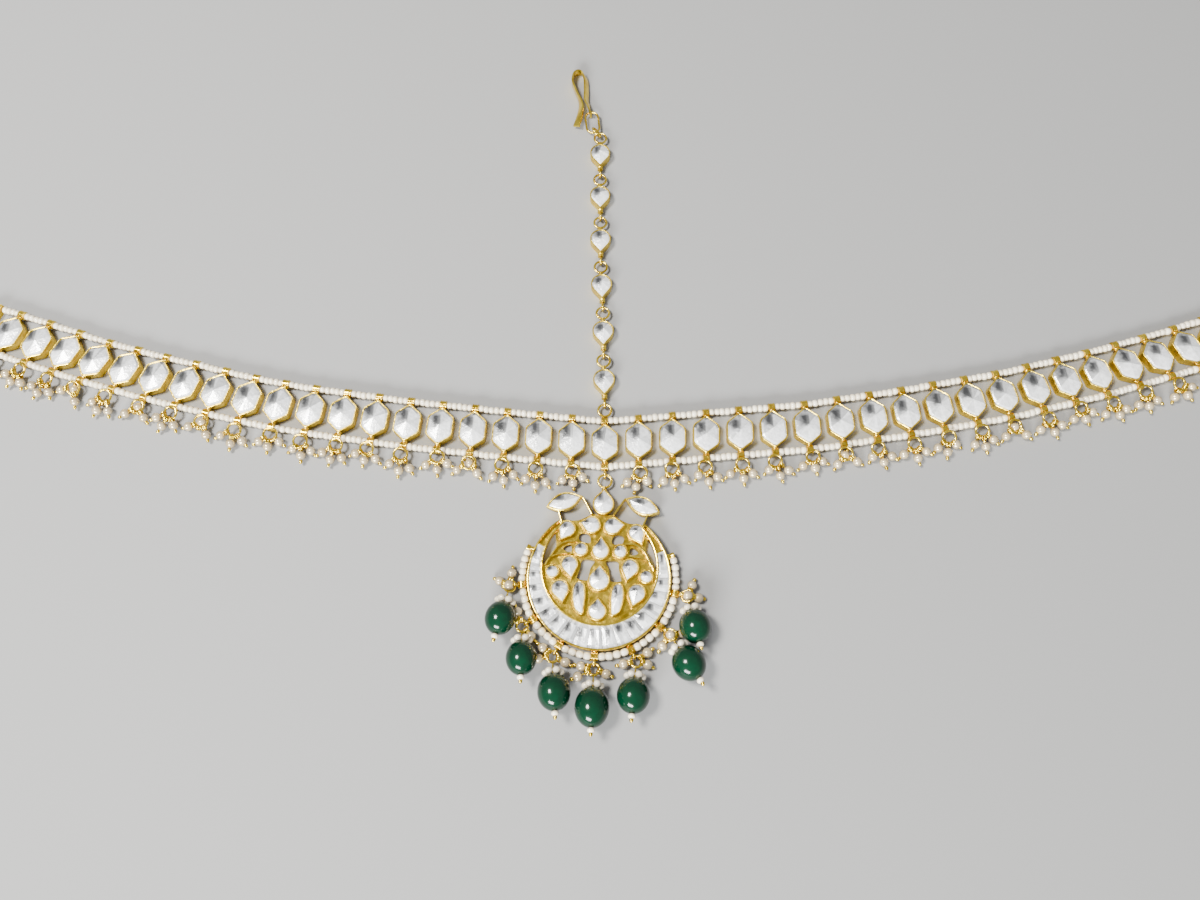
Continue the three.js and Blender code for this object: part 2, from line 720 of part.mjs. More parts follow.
// Seed strand with the posts that hold it and the eyes that carry the drops.
function strandPieces() {
  const arc = Array.from({ length: STRAND_STEPS + 1 }, (_, k) => {
    const p = polar(STRAND_RADIUS, 270 - STRAND_END + (k / STRAND_STEPS) * 2 * STRAND_END);
    return new THREE.Vector3(p.x, p.y, STRING_Z);
  });
  const inner = CRESCENT.outer - POST_ROOT;
  const { halfWidth, reach } = END_POST;
  const ends = [-STRAND_END, STRAND_END].map((degrees) =>
    block(-halfWidth, -STRAND_RADIUS - reach, STRING_Z - reach, halfWidth, -inner, STRING_Z + reach)
      .rotateZ(radians(degrees)),
  );
  const posts = postAngles.map((degrees) =>
    eye(DROP_EYE_RADIUS - inner).translate(0, -DROP_EYE_RADIUS, 0).rotateZ(radians(degrees + 90)),
  );
  return [stringTube(arc), ...ends, ...posts];
}

function pendantGroup() {
  const gaps = PLATE_GAPS.flatMap(bothSides).map((outline) => outline.reverse());
  const body = fuse([
    crescentBody(),
    slab(plateOutline(), 0, PLATE_HEIGHT, gaps),
    ...crescentStones(),
    ...pendantStones(),
    ...pendantWalls(),
    ...strandPieces(),
    ring(RING_RADIUS, 0, PENDANT_RING_Y),
    neck(PENDANT_TIP_Y, PENDANT_RING_Y - RING_RADIUS),
  ]);
  const group = new THREE.Group();
  group.add(meshOf("pendant", body, gold()), ...DROPS.map(greenDrop));
  const place = new THREE.Vector2(0, PENDANT_EYE_Y - RING_RADIUS);
  const origin = stepFrom(place, -PENDANT_RING_Y, PENDANT_TURN);
  group.position.set(origin.x, origin.y, 0);
  group.rotation.z = radians(PENDANT_TURN);
  return group;
}

// Ring, crown of pearls, green bead, end seed and pin head. Its frame's origin is the hole of the
// post's eye, with X outwards from the crescent; the ring rises outwards from the eye.
function greenDrop({ direction, reach, width, length }, index) {
  const lift = radians(DROP_RING_LIFT);
  const angle = radians(direction - postAngles[index]);
  const along = new THREE.Vector3(Math.cos(angle), Math.sin(angle), 0);
  const axis = new THREE.Vector3(0, 1, 0);
  const centre = new THREE.Vector3(DROP_RING_RADIUS, 0, 0);
  const start = centre.clone().addScaledVector(along, DROP_RING_RADIUS).applyAxisAngle(axis, -lift);
  const middle = centre.clone().addScaledVector(along, reach).setZ(width / 2 + DROP_CLEARANCE - RING_Z);
  const run = start.distanceTo(middle);
  const crown = run - length / 2;
  const seedStart = run + length / 2;
  const profile = [
    [0, DROP_START],
    [NECK_WIDTH / 2, DROP_START],
    [DROP_CROWN_RADIUS, crown - DROP_CROWN.below],
    [DROP_CROWN_RADIUS, crown + DROP_CROWN.above],
    [DROP_SHOULDER * width, run - length / 4],
    [width / 2, run],
    [DROP_SHOULDER * width, run + length / 4],
    [NECK_WIDTH / 2, seedStart],
    [DROP_SEED_RADIUS, seedStart + DROP_SEED_LENGTH / 2],
    [0, seedStart + DROP_SEED_LENGTH + DROP_PIN_LENGTH],
  ].map(([radius, height]) => new THREE.Vector2(radius, height));
  const turn = new THREE.Quaternion().setFromUnitVectors(axis, middle.clone().sub(start).normalize());
  const beads = new THREE.LatheGeometry(profile, DROP_SIDES).applyQuaternion(turn);
  beads.translate(start.x, start.y, start.z + RING_Z);
  const hoop = ring(DROP_RING_RADIUS, DROP_RING_RADIUS, 0);
  hoop.translate(0, 0, -RING_Z).rotateY(-lift).translate(0, 0, RING_Z);
  const mesh = meshOf(`green_drop_${index + 1}`, fuse([beads, hoop]), green());
  const origin = polar(DROP_EYE_RADIUS, postAngles[index]);
  mesh.position.set(origin.x, origin.y, 0);
  mesh.rotation.z = radians(postAngles[index]);
  return mesh;
}

// ---------------------------------------------------------------- the whole jewel

const jewel = new THREE.Group();
jewel.add(...units.map(stoneUnit));
jewel.add(beadString("bead_string_upper", strings.upper), beadString("bead_string_lower", strings.lower));
jewel.add(
  endClasp("end_clasp_left", strings.upper[0], strings.lower[0], -1),
  endClasp("end_clasp_right", strings.upper.at(-1), strings.lower.at(-1), 1),
);

const chainRings = CHAIN_WANDER.map((x, k) => new THREE.Vector2(x, CHAIN_RING_Y + k * CHAIN_PITCH));
chainRings.slice(1).forEach((above, k) => {
  jewel.add(pearLink(`pear_link_${k + 1}`, chainRings[k], above));
});

const roundRing = stepFrom(chainRings.at(-1), ROUND_RING.reach, ROUND_RING.turn);
const ovalLow = stepFrom(roundRing, OVAL_RING.reach, ROUND_RING.turn);
const ovalMiddle = stepFrom(ovalLow, OVAL_RING.halfLength - OVAL_RING.halfWidth, OVAL_RING.turn);
const hookHole = stepFrom(ovalMiddle, OVAL_RING.halfLength, OVAL_RING.turn);
jewel.add(
  leaningRing("round_ring", roundRing),
  flatOvalRing("oval_ring", ovalMiddle),
  hairHook("hair_hook", hookHole),
  pendantGroup(),
);

export default jewel;
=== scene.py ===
"""Dresses the matha patti: gold settings, foil-backed stones, seed beads, pearls and green drops.

Sizes are in millimetres and become metres when a mesh is made. +Z is the jewel's front, +Y runs up
the chain, and the origin is the back of the band's middle stone, as in the solid model.
"""

import logging
import math
import random
from collections.abc import Iterable, Sequence
from dataclasses import dataclass, field
from enum import Enum

import bmesh
import bpy
from mathutils import Euler, Matrix, Vector
from mathutils.geometry import tessellate_polygon


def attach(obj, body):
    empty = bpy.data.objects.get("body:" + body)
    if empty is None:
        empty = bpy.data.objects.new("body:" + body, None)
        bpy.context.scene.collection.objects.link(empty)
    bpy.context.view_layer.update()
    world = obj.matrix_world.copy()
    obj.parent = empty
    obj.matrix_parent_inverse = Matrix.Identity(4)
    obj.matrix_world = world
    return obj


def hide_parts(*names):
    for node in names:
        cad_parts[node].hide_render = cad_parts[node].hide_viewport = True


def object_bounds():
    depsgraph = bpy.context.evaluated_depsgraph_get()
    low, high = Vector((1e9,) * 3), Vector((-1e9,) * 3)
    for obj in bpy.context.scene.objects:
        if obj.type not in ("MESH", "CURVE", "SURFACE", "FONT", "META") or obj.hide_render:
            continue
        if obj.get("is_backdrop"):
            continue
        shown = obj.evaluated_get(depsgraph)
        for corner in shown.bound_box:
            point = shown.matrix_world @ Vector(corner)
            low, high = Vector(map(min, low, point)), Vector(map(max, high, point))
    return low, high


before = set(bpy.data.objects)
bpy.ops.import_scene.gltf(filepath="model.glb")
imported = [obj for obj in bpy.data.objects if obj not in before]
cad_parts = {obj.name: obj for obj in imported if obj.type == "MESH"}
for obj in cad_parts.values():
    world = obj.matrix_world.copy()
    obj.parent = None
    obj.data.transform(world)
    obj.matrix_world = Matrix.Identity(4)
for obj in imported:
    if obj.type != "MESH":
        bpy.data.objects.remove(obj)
SOLID_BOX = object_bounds()

MM = 0.001
NEARLY_HALVED = 2.05  # keeps the curves of two neighbouring corners apart
SHARPEST = 0.35  # stops an outline's sharp tips from running far inwards
PEAR_LESS = (1.7, 1.9)  # what a pear loses in width and length for each unit of wall
LEAF_LESS = (1.9, 3.4)
UP_CHAIN = Vector((0, 1, 0))
OUTWARDS = Vector((1, 0, 0))
HALF_TURN = 3.14
FLAT_FACETS = 0.0  # creases, in degrees: edges sharper than this stay sharp, and 0 keeps them all
FLOOR_CREASE = 30.0
GOLD_CREASE = 40.0
WIRE_CREASE = 60.0
SEED_CREASE = 70.0
BEAD_CREASE = 80.0
log = logging.getLogger("matha_patti")

Point = tuple[float, float]
Value = bpy.types.NodeSocket | float | int | bool | tuple | bpy.types.Object | bpy.types.Material


class Slot(Enum):
    """Material slots of the solid model."""

    GOLD = "gold"
    SEED = "seed"
    GREEN = "green"


# ---------------------------------------------------------------- flat shapes


def polar(radius: float, degrees: float) -> Vector:
    """A flat point at a distance and direction from the origin."""
    angle = math.radians(degrees)
    return Vector((radius * math.cos(angle), radius * math.sin(angle)))


def mirrored(points: Iterable[Vector]) -> list[Vector]:
    """The points on the other side of the Y axis, in reverse order."""
    return [Vector((-p.x, p.y)) for p in points][::-1]


def flat(points: Iterable[Point]) -> list[Vector]:
    """Pairs of numbers as flat points."""
    return [Vector(point) for point in points]


def at_height(points: Iterable[Vector], z: float) -> list[Vector]:
    """Flat points lifted to a height."""
    return [Vector((p.x, p.y, z)) for p in points]


def rounded(outline: Sequence[Vector], radius: float, steps: int) -> list[Vector]:
    """An outline with each corner turned into a short curve.

    Args:
        outline: The corners, in order.
        radius: How far from a corner its curve starts.
        steps: Points on each curve.

    Returns:
        The smoother outline.
    """
    made: list[Vector] = []
    for k, corner in enumerate(outline):
        before = outline[k - 1] - corner
        after = outline[(k + 1) % len(outline)] - corner
        start = corner + before.normalized() * min(radius, before.length / NEARLY_HALVED)
        end = corner + after.normalized() * min(radius, after.length / NEARLY_HALVED)
        for step in range(steps):
            t = step / (steps - 1)
            made.append(start * (1 - t) ** 2 + corner * 2 * t * (1 - t) + end * t**2)
    return made


def inset(outline: Sequence[Vector], distance: float) -> list[Vector]:
    """An anticlockwise outline moved inwards by a distance, or outwards if it is negative.

    Args:
        outline: The outline.
        distance: How far it moves, in millimetres.

    Returns:
        The moved outline, with as many points.
    """
    moved: list[Vector] = []
    for k, point in enumerate(outline):
        one = (point - outline[k - 1]).normalized()
        two = (outline[(k + 1) % len(outline)] - point).normalized()
        inward = Vector((-one.y - two.y, one.x + two.x))
        share = distance / max(SHARPEST, 1 + one.dot(two))
        moved.append(point + inward * share)
    return moved


def smooth_line(points: Sequence[Vector], steps: int, closed: bool = False) -> list[Vector]:
    """A smooth line through points, by the Catmull-Rom rule.

    Args:
        points: The points that the line passes, flat or not.
        steps: Points made between each two of them.
        closed: Whether the line comes back to its start.

    Returns:
        The line's points.
    """
    count = len(points)
    line: list[Vector] = []
    for k in range(count if closed else count - 1):
        a, b, c, d = (
            points[index % count] if closed else points[min(max(index, 0), count - 1)]
            for index in range(k - 1, k + 3)
        )
        for step in range(steps):
            t = step / steps
            square, cube = 2 * a - 5 * b + 4 * c - d, 3 * b - a - 3 * c + d
            line.append(0.5 * (2 * b + (c - a) * t + square * t**2 + cube * t**3))
    return line if closed else [*line, points[-1].copy()]


def round_outline(radius: float, points: int) -> list[Vector]:
    """A circle as an outline."""
    return [polar(radius, 360 * k / points) for k in range(points)]


def pear_outline(width: float, length: float, points: int) -> list[Vector]:
    """A pear with its tip towards +Y, centred on half its length.

    Args:
        width: Across the round end.
        length: From the tip to the round end.
        points: Points of the outline.

    Returns:
        The outline, anticlockwise from the tip.
    """
    radius = width / 2
    touch = math.acos(radius / (length - radius))
    middle = radius - length / 2
    sweep = 2 * (math.pi - touch)
    outline = [Vector((0.0, length / 2))]
    for k in range(points - 1):
        angle = math.pi / 2 + touch + k / (points - 2) * sweep
        outline.append(Vector((radius * math.cos(angle), middle + radius * math.sin(angle))))
    return outline


def leaf_outline(width: float, length: float, points: int) -> list[Vector]:
    """A leaf with pointed tips along Y, anticlockwise from its upper tip.

    Args:
        width: Its greatest width.
        length: Its length, tip to tip.
        points: Number of points.

    Returns:
        The outline.
    """
    half = points // 2
    outline: list[Vector] = []
    for sign in (1, -1):
        for k in range(half):
            y = sign * length * (0.5 - k / half)
            outline.append(Vector((-sign * width / 2 * (1 - (2 * y / length) ** 2), y)))
    return outline


# ---------------------------------------------------------------- meshes in code


def stand(name: str, data: bpy.types.ID) -> bpy.types.Object:
    """Makes an object of some data, at the origin of the scene.

    Args:
        name: The object's name.
        data: The mesh, curve, lamp or camera that it shows.

    Returns:
        The object.
    """
    thing = bpy.data.objects.new(name, data)
    bpy.context.scene.collection.objects.link(thing)
    return thing


def skin(rows: int, count: int, bored: bool = False) -> list[tuple[int, ...]]:
    """Faces round a body whose points come in rings.

    Args:
        rows: Number of rings.
        count: Points in each ring.
        bored: Whether the last ring joins the first, round a hole, or both ends are closed flat.

    Returns:
        The faces, as indices of the points.
    """
    total = rows * count
    faces: list[tuple[int, ...]] = []
    for start in range(0, total if bored else total - count, count):
        for k in range(count):
            a, b = start + k, start + (k + 1) % count
            faces.append((a, b, (b + count) % total, (a + count) % total))
    if bored:
        return faces
    return [*faces, tuple(range(count))[::-1], tuple(range(total - count, total))]


class Shape:
    """Points and faces of a piece under construction, in millimetres."""

    def __init__(self) -> None:
        """Starts an empty shape."""
        self.points: list[Vector] = []
        self.faces: list[tuple[int, ...]] = []
        self.facet_tone_and_shade: list[float] = []
        self.marks: list[Vector] = []

    def add(
        self,
        points: Sequence[Vector],
        faces: Iterable[Sequence[int]],
        place: Matrix | None = None,
        facet_tone_and_shade: Sequence[float] | None = None,
        marks: Sequence[Vector] | None = None,
    ) -> None:
        """Adds a closed body.

        Args:
            points: Its points.
            faces: Its faces, as indices of those points.
            place: Where it goes, if it isn't already there.
            facet_tone_and_shade: How grey each face is: a random tone, with painted shade added on all but
                the crescent's stones.
            marks: Where each point lies on its stone, from -1 to 1, with the stone's own chance number.
        """
        start = len(self.points)
        made = [tuple(start + index for index in face) for face in faces]
        self.points += [place @ p if place else p.copy() for p in points]
        self.faces += made
        self.facet_tone_and_shade += list(facet_tone_and_shade) if facet_tone_and_shade else [0.0] * len(made)
        self.marks += list(marks) if marks else [Vector()] * len(points)

    def prism(
        self,
        outline: Sequence[Vector],
        low: float,
        high: float,
        holes: Sequence[Sequence[Vector]] = (),
        place: Matrix | None = None,
    ) -> None:
        """Adds a flat piece between two heights, pierced by its holes.

        Args:
            outline: Its outline, anticlockwise.
            low: Height of its underside.
            high: Height of its upper side.
            holes: Outlines of its holes, clockwise.
            place: Where it goes.
        """
        loops = [outline, *holes]
        tiles = tessellate_polygon([at_height(loop, 0) for loop in loops])
        rim = [p for loop in loops for p in loop]
        count = len(rim)
        faces: list[Sequence[int]] = [tuple(tile) for tile in tiles]
        faces += [tuple(count + index for index in tile[::-1]) for tile in tiles]
        start = 0
        for loop in loops:
            for k in range(len(loop)):
                a, b = start + k, start + (k + 1) % len(loop)
                faces.append((a, b, b + count, a + count))
            start += len(loop)
        self.add(at_height(rim, low) + at_height(rim, high), faces, place)

    def lathe(
        self, profile: Sequence[Point], sides: int, place: Matrix | None = None, bored: bool = False
    ) -> None:
        """Adds a body turned about Z from radius and height pairs, with a hole through it if bored."""
        points = [Vector((*polar(r, 360 * k / sides), z)) for r, z in profile for k in range(sides)]
        self.add(points, skin(len(profile), sides, bored), place)

    def build(
        self, name: str, material: bpy.types.Material | None = None, crease: float = 35.0
    ) -> bpy.types.Object:
        """Makes the mesh object, in metres, with its faces outwards.

        Args:
            name: The piece's name.
            material: Its material, if it has one.
            crease: Edges sharper than this many degrees stay sharp; 0 leaves every face flat.

        Returns:
            The object.
        """
        mesh = bpy.data.meshes.new(name)
        mesh.from_pydata([p * MM for p in self.points], [], self.faces)
        # Each face's grey, a random tone with painted shade, and each point's place on its stone.
        if any(self.facet_tone_and_shade):
            mesh.attributes.new("facet_tone_and_shade", "FLOAT", "FACE").data.foreach_set("value", self.facet_tone_and_shade)
            marks = mesh.attributes.new("stone_mark", "FLOAT_VECTOR", "POINT")
            marks.data.foreach_set("vector", [n for mark in self.marks for n in mark])
        sketch = bmesh.new()
        sketch.from_mesh(mesh)
        bmesh.ops.recalc_face_normals(sketch, faces=sketch.faces)
        sketch.to_mesh(mesh)
        sketch.free()
        if material:
            mesh.materials.append(material)
        soften(mesh, crease)
        return stand(name, mesh)


def soften(mesh: bpy.types.Mesh, crease: float) -> None:
    """Shades a mesh smooth between its sharp edges.

    Args:
        mesh: The mesh.
        crease: Edges sharper than this many degrees stay sharp; 0 leaves every face flat.
    """
    mesh.polygons.foreach_set("use_smooth", [crease > 0] * len(mesh.polygons))
    if crease > 0:
        mesh.set_sharp_from_angle(angle=math.radians(crease))
    mesh.update()


def stone_marks(points: Sequence[Vector], chance: float) -> list[Vector]:
    """Each point's place within its stone, from -1 to 1 across and up it, with the stone's own number.

    Args:
        points: The stone's points, turned as it lies.
        chance: The stone's own number.

    Returns:
        One mark per point.
    """
    (left, right), (low, high) = ((min(side), max(side)) for side in zip(*((p.x, p.y) for p in points)))
    wide, tall = (right - left) / 2, (high - low) / 2
    return [Vector(((p.x - left) / wide - 1, (p.y - low) / tall - 1, chance)) for p in points]


@dataclass(frozen=True)
class StoneCut:
    """How a flat-backed stone is cut: a bevelled shoulder and long facets that meet near its middle."""

    rise: float = 0.85
    shoulder: float = 0.86
    shoulder_rise: float = 0.36
    girdle: float = 0.35
    # The next four set each facet's grey: painted shade that greys the facets towards the stone's upper left,
    # plus a random tone.
    grey: float = 0.5
    tone: float = 0.35
    tone_up: float = 0.75
    shade_across: float = -0.25
    streak_edges: tuple[Point, Point] = ((0.2, 1.0), (0.85, 0.7))  # share across and of the rise

    def add_to(
        self, shape: Shape, outline: Sequence[Vector], z: float, place: Matrix, dice: random.Random
    ) -> None:
        """Adds one cut stone.

        Args:
            shape: The shape that collects the stones.
            outline: The stone's girdle, anticlockwise.
            z: Height of the girdle.
            place: Where the stone goes.
            dice: Source of the small differences between stones.
        """
        count = len(outline)
        middle = sum(outline, Vector((0.0, 0.0))) / count
        apex = middle + Vector((dice.uniform(-0.25, 0.25), dice.uniform(-0.2, 0.2)))
        ring = [middle.lerp(p, self.shoulder * dice.uniform(0.96, 1.03)) for p in outline]
        points = at_height(outline, z - self.girdle) + at_height(outline, z)
        points += at_height(ring, z + self.rise * self.shoulder_rise)
        points += at_height([apex], z + self.rise)
        faces: list[tuple[int, ...]] = [tuple(range(count))[::-1]]
        for k in range(count):
            after = (k + 1) % count
            faces.append((k, after, count + after, count + k))
            faces.append((count + k, count + after, 2 * count + after, 2 * count + k))
            faces.append((2 * count + k, 2 * count + after, 3 * count))
        marks = stone_marks([place.to_3x3() @ p for p in points], dice.random())
        # Painted shade: each facet greyer towards the stone's upper left, plus a random tone.
        facet_tone_and_shade = []
        for face in faces:
            centre = sum((marks[index] for index in face), Vector()) / len(face)
            lean = self.tone_up * centre.y + self.shade_across * centre.x
            tone = self.tone + lean + dice.uniform(-0.35, 0.35)
            facet_tone_and_shade.append(max(0.01, min(1.0, self.grey * tone * 1.6)))
        shape.add(points, faces, place, facet_tone_and_shade, marks)

    def add_streaked(
        self, shape: Shape, inner: Sequence[Vector], outer: Sequence[Vector], z: float, place: Matrix,
        dice: random.Random,
    ) -> None:
        """Adds one tapered stone with long facets between two edges.

        Args:
            shape: The shape that collects the stones.
            inner: Points along one edge.
            outer: As many points along the other.
            z: Height of the girdle.
            place: Where the stone goes.
            dice: Source of the small differences between stones.
        """
        count = len(inner)
        lifts = [0.0, *(self.rise * dice.uniform(0.3, 1.0) for _ in range(count - 2)), 0.0]
        rows = [at_height(inner, z)]
        for across, part in self.streak_edges:
            run = zip(inner, outer, lifts)
            rows.append([a.lerp(b, across).to_3d() + Vector((0, 0, z + lift * part)) for a, b, lift in run])
        rows.append(at_height(outer, z))
        below = [at_height(edge, z - self.girdle) for edge in (inner, outer)]
        points = [p for row in (*rows, *below) for p in row]
        faces: list[tuple[int, ...]] = []
        for row in range(3):
            for k in range(count - 1):
                a = row * count + k
                faces.append((a, a + 1, a + 1 + count, a + count))
        low, far = 4 * count, 5 * count
        for k in range(count - 1):
            faces.append((low + k, low + k + 1, k + 1, k))
            faces.append((3 * count + k, 3 * count + k + 1, far + k + 1, far + k))
            faces.append((low + k + 1, low + k, far + k, far + k + 1))
        for k in (0, count - 1):
            faces.append((k, k + count, k + 2 * count, k + 3 * count, k + far, k + low))
        marks = stone_marks([place.to_3x3() @ p for p in points], dice.random())
        # A random grey for each facet.
        facet_tone_and_shade = [max(0.01, self.grey * dice.uniform(-0.3, 1.5)) for _ in faces]
        shape.add(points, faces, place, facet_tone_and_shade, marks)


# ---------------------------------------------------------------- node trees


class NodeSketch:
    """A node tree being drawn: its nodes are made and joined by their sockets' names."""

    def __init__(self, tree: bpy.types.NodeTree) -> None:
        """Takes the tree to draw in."""
        self.tree = tree

    def feed(self, socket: bpy.types.NodeSocket, value: Value) -> None:
        """Links or sets an input.

        Args:
            socket: The input.
            value: Another socket to link, or a value to set.
        """
        if isinstance(value, bpy.types.NodeSocket):
            self.tree.links.new(value, socket)
        else:
            socket.default_value = value

    def node(
        self, kind: str, inputs: dict[str | int, Value] | None = None, **settings: object
    ) -> bpy.types.Node:
        """Makes a node.

        Args:
            kind: Blender's name for the node.
            inputs: Values or sockets for its inputs, by name or number.
            **settings: Its own properties.

        Returns:
            The node.
        """
        made = self.tree.nodes.new(kind)
        for name, value in settings.items():
            setattr(made, name, value)
        for name, value in (inputs or {}).items():
            self.feed(made.inputs[name], value)
        return made

    def math(self, operation: str, *values: Value) -> bpy.types.NodeSocket:
        """A Math node's result."""
        return self.node("ShaderNodeMath", dict(enumerate(values)), operation=operation).outputs[0]

    def blend(self, mask: Value, one: Value, two: Value) -> bpy.types.NodeSocket:
        """A colour between two others."""
        return self.node("ShaderNodeMix", {0: mask, 6: one, 7: two}, data_type="RGBA").outputs[2]

    def between(self, mask: Value, low: float, high: float) -> bpy.types.NodeSocket:
        """A number between two others."""
        return self.node("ShaderNodeMapRange", {"Value": mask, "To Min": low, "To Max": high}).outputs[0]


class GroupSketch(NodeSketch):
    """A node group being drawn, with named inputs and outputs."""

    def __init__(self, name: str, kind: str) -> None:
        """Starts a group of a kind, such as GeometryNodeTree.

        Args:
            name: The group's name.
            kind: The kind of node tree.
        """
        super().__init__(bpy.data.node_groups.new(name, kind))
        self.entry = self.tree.nodes.new("NodeGroupInput")
        self.exit = self.tree.nodes.new("NodeGroupOutput")

    def take(self, name: str, kind: str, default: object = None) -> bpy.types.NodeSocket:
        """Adds an input and returns the socket that brings it into the group.

        Args:
            name: The input's name.
            kind: Its kind of socket.
            default: Its value when nothing is given.

        Returns:
            The socket, on the inner side.
        """
        item = self.tree.interface.new_socket(name, in_out="INPUT", socket_type="NodeSocket" + kind)
        if default is not None:
            item.default_value = default
        return self.entry.outputs[name]

    def takes(self, **inputs: tuple) -> list[bpy.types.NodeSocket]:
        """Adds several inputs, each with its kind and its value when nothing is given."""
        return [self.take(name.replace("_", " "), *row) for name, row in inputs.items()]

    def give(self, name: str, kind: str, source: bpy.types.NodeSocket) -> None:
        """Adds an output that a socket fills."""
        self.tree.interface.new_socket(name, in_out="OUTPUT", socket_type="NodeSocket" + kind)
        self.tree.links.new(source, self.exit.inputs[name])

    def geo(self, kind: str, inputs: dict[str | int, Value], **settings: object) -> bpy.types.NodeSocket:
        """A geometry node's first result."""
        return self.node("GeometryNode" + kind, inputs, **settings).outputs[0]

    def attribute(self, name: str, kind: str) -> bpy.types.NodeSocket:
        """The value of a named attribute of the geometry."""
        return self.geo("InputNamedAttribute", {"Name": name}, data_type=kind)

    def vector(self, x: Value, y: Value, z: Value) -> bpy.types.NodeSocket:
        """A vector from three numbers."""
        return self.node("ShaderNodeCombineXYZ", {0: x, 1: y, 2: z}).outputs[0]

    def chance(self, low: Value, high: Value, seed: Value) -> bpy.types.NodeSocket:
        """A random number between two others for each copy."""
        inputs = {2: low, 3: high, "Seed": seed}
        return self.node("FunctionNodeRandomValue", inputs, data_type="FLOAT").outputs[1]

    def chance_vector(self, low: Value, high: Value, seed: Value) -> bpy.types.NodeSocket:
        """A random vector between two others for each copy."""
        inputs = {0: low, 1: high, "Seed": seed}
        return self.node("FunctionNodeRandomValue", inputs, data_type="FLOAT_VECTOR").outputs[0]

    def scaled(self, vector: Value, size: Value) -> bpy.types.NodeSocket:
        """A vector made longer or shorter."""
        return self.node("ShaderNodeVectorMath", {0: vector, "Scale": size}, operation="SCALE").outputs[0]

    def copies(self, spots: Value, model: Value, turn: Value, scale: Value) -> bpy.types.NodeSocket:
        """Copies of an object on points.

        Args:
            spots: The points.
            model: The object.
            turn: Each copy's turn.
            scale: Each copy's size.

        Returns:
            The copies.
        """
        shape = self.node("GeometryNodeObjectInfo", {"Object": model}).outputs["Geometry"]
        inputs = {"Points": spots, "Instance": shape, "Rotation": turn, "Scale": scale}
        return self.geo("InstanceOnPoints", inputs)

    def finish(self, geometry: bpy.types.NodeSocket, material: bpy.types.NodeSocket) -> None:
        """Ends a geometry tree: instances are made real and take their material."""
        real = self.geo("RealizeInstances", {"Geometry": geometry})
        self.give("Geometry", "Geometry", self.geo("SetMaterial", {"Geometry": real, "Material": material}))


def beads_tree() -> bpy.types.NodeTree:
    """Beads threaded on paths: each path has its own number of beads and their pitch.

    Returns:
        The node group.
    """
    sketch = GroupSketch("threaded_beads", "GeometryNodeTree")
    paths, bead, material, width, uneven, wobble, stray, seed = sketch.takes(
        Geometry=("Geometry",), Bead=("Object",), Material=("Material",), Bead_Width=("Float", 0.002),
        Unevenness=("Float", 0.05), Wobble=("Float", 0.08), Stray=("Float", 0.0001), Seed=("Int", 1),
    )
    curve = sketch.geo("MeshToCurve", {"Mesh": paths})
    spots = sketch.geo("ResampleCurve", {"Curve": curve, "Count": sketch.attribute("beads", "INT")})
    away = sketch.scaled((1.0, 1.0, 0.5), stray)
    shift = sketch.chance_vector(sketch.scaled(away, -1.0), away, seed)
    tangent = sketch.geo("InputTangent", {})
    along = sketch.node("FunctionNodeAlignRotationToVector", {"Vector": tangent}, axis="Z").outputs[0]
    size = sketch.chance(sketch.math("SUBTRACT", 1.0, uneven), sketch.math("ADD", 1.0, uneven), seed)
    across = sketch.math("MULTIPLY", width, size)
    scale = sketch.vector(across, across, sketch.attribute("pitch", "FLOAT"))
    back = sketch.math("MULTIPLY", wobble, -1.0)
    tip = sketch.chance_vector(
        sketch.vector(back, back, -HALF_TURN), sketch.vector(wobble, wobble, HALF_TURN), seed
    )
    nudge = sketch.node("FunctionNodeEulerToRotation", {0: tip}).outputs[0]
    turn = sketch.node(
        "FunctionNodeRotateRotation", {"Rotation": along, "Rotate By": nudge}, rotation_space="LOCAL"
    ).outputs[0]
    placed = sketch.copies(spots, bead, turn, scale)
    strayed = sketch.geo("TranslateInstances", {0: placed, "Translation": shift, "Local Space": False})
    sketch.finish(strayed, material)
    return sketch.tree


def copies_tree() -> bpy.types.NodeTree:
    """Copies of one object on points, each with its own turn and size.

    Returns:
        The node group.
    """
    sketch = GroupSketch("placed_copies", "GeometryNodeTree")
    spots, model, material, uneven, seed = sketch.takes(
        Geometry=("Geometry",), Copy=("Object",), Material=("Material",), Unevenness=("Float", 0.03),
        Seed=("Int", 1),
    )
    angles = sketch.attribute("turn", "FLOAT_VECTOR")
    turn = sketch.node("FunctionNodeEulerToRotation", {0: angles}).outputs[0]
    size = sketch.chance(sketch.math("SUBTRACT", 1.0, uneven), 1.0, seed)
    scale = sketch.math("MULTIPLY", size, sketch.attribute("size", "FLOAT"))
    sketch.finish(sketch.copies(spots, model, turn, scale), material)
    return sketch.tree


def wires_tree() -> bpy.types.NodeTree:
    """Round wire along paths.

    Returns:
        The node group.
    """
    sketch = GroupSketch("round_wires", "GeometryNodeTree")
    paths, material, radius, sides = sketch.takes(
        Geometry=("Geometry",), Material=("Material",), Wire_Radius=("Float", 0.0003), Sides=("Int", 8)
    )
    curve = sketch.geo("MeshToCurve", {"Mesh": paths})
    circle = sketch.geo("CurvePrimitiveCircle", {"Resolution": sides, "Radius": radius})
    swept = sketch.geo("CurveToMesh", {"Curve": curve, "Profile Curve": circle, "Fill Caps": True})
    sketch.finish(swept, material)
    return sketch.tree


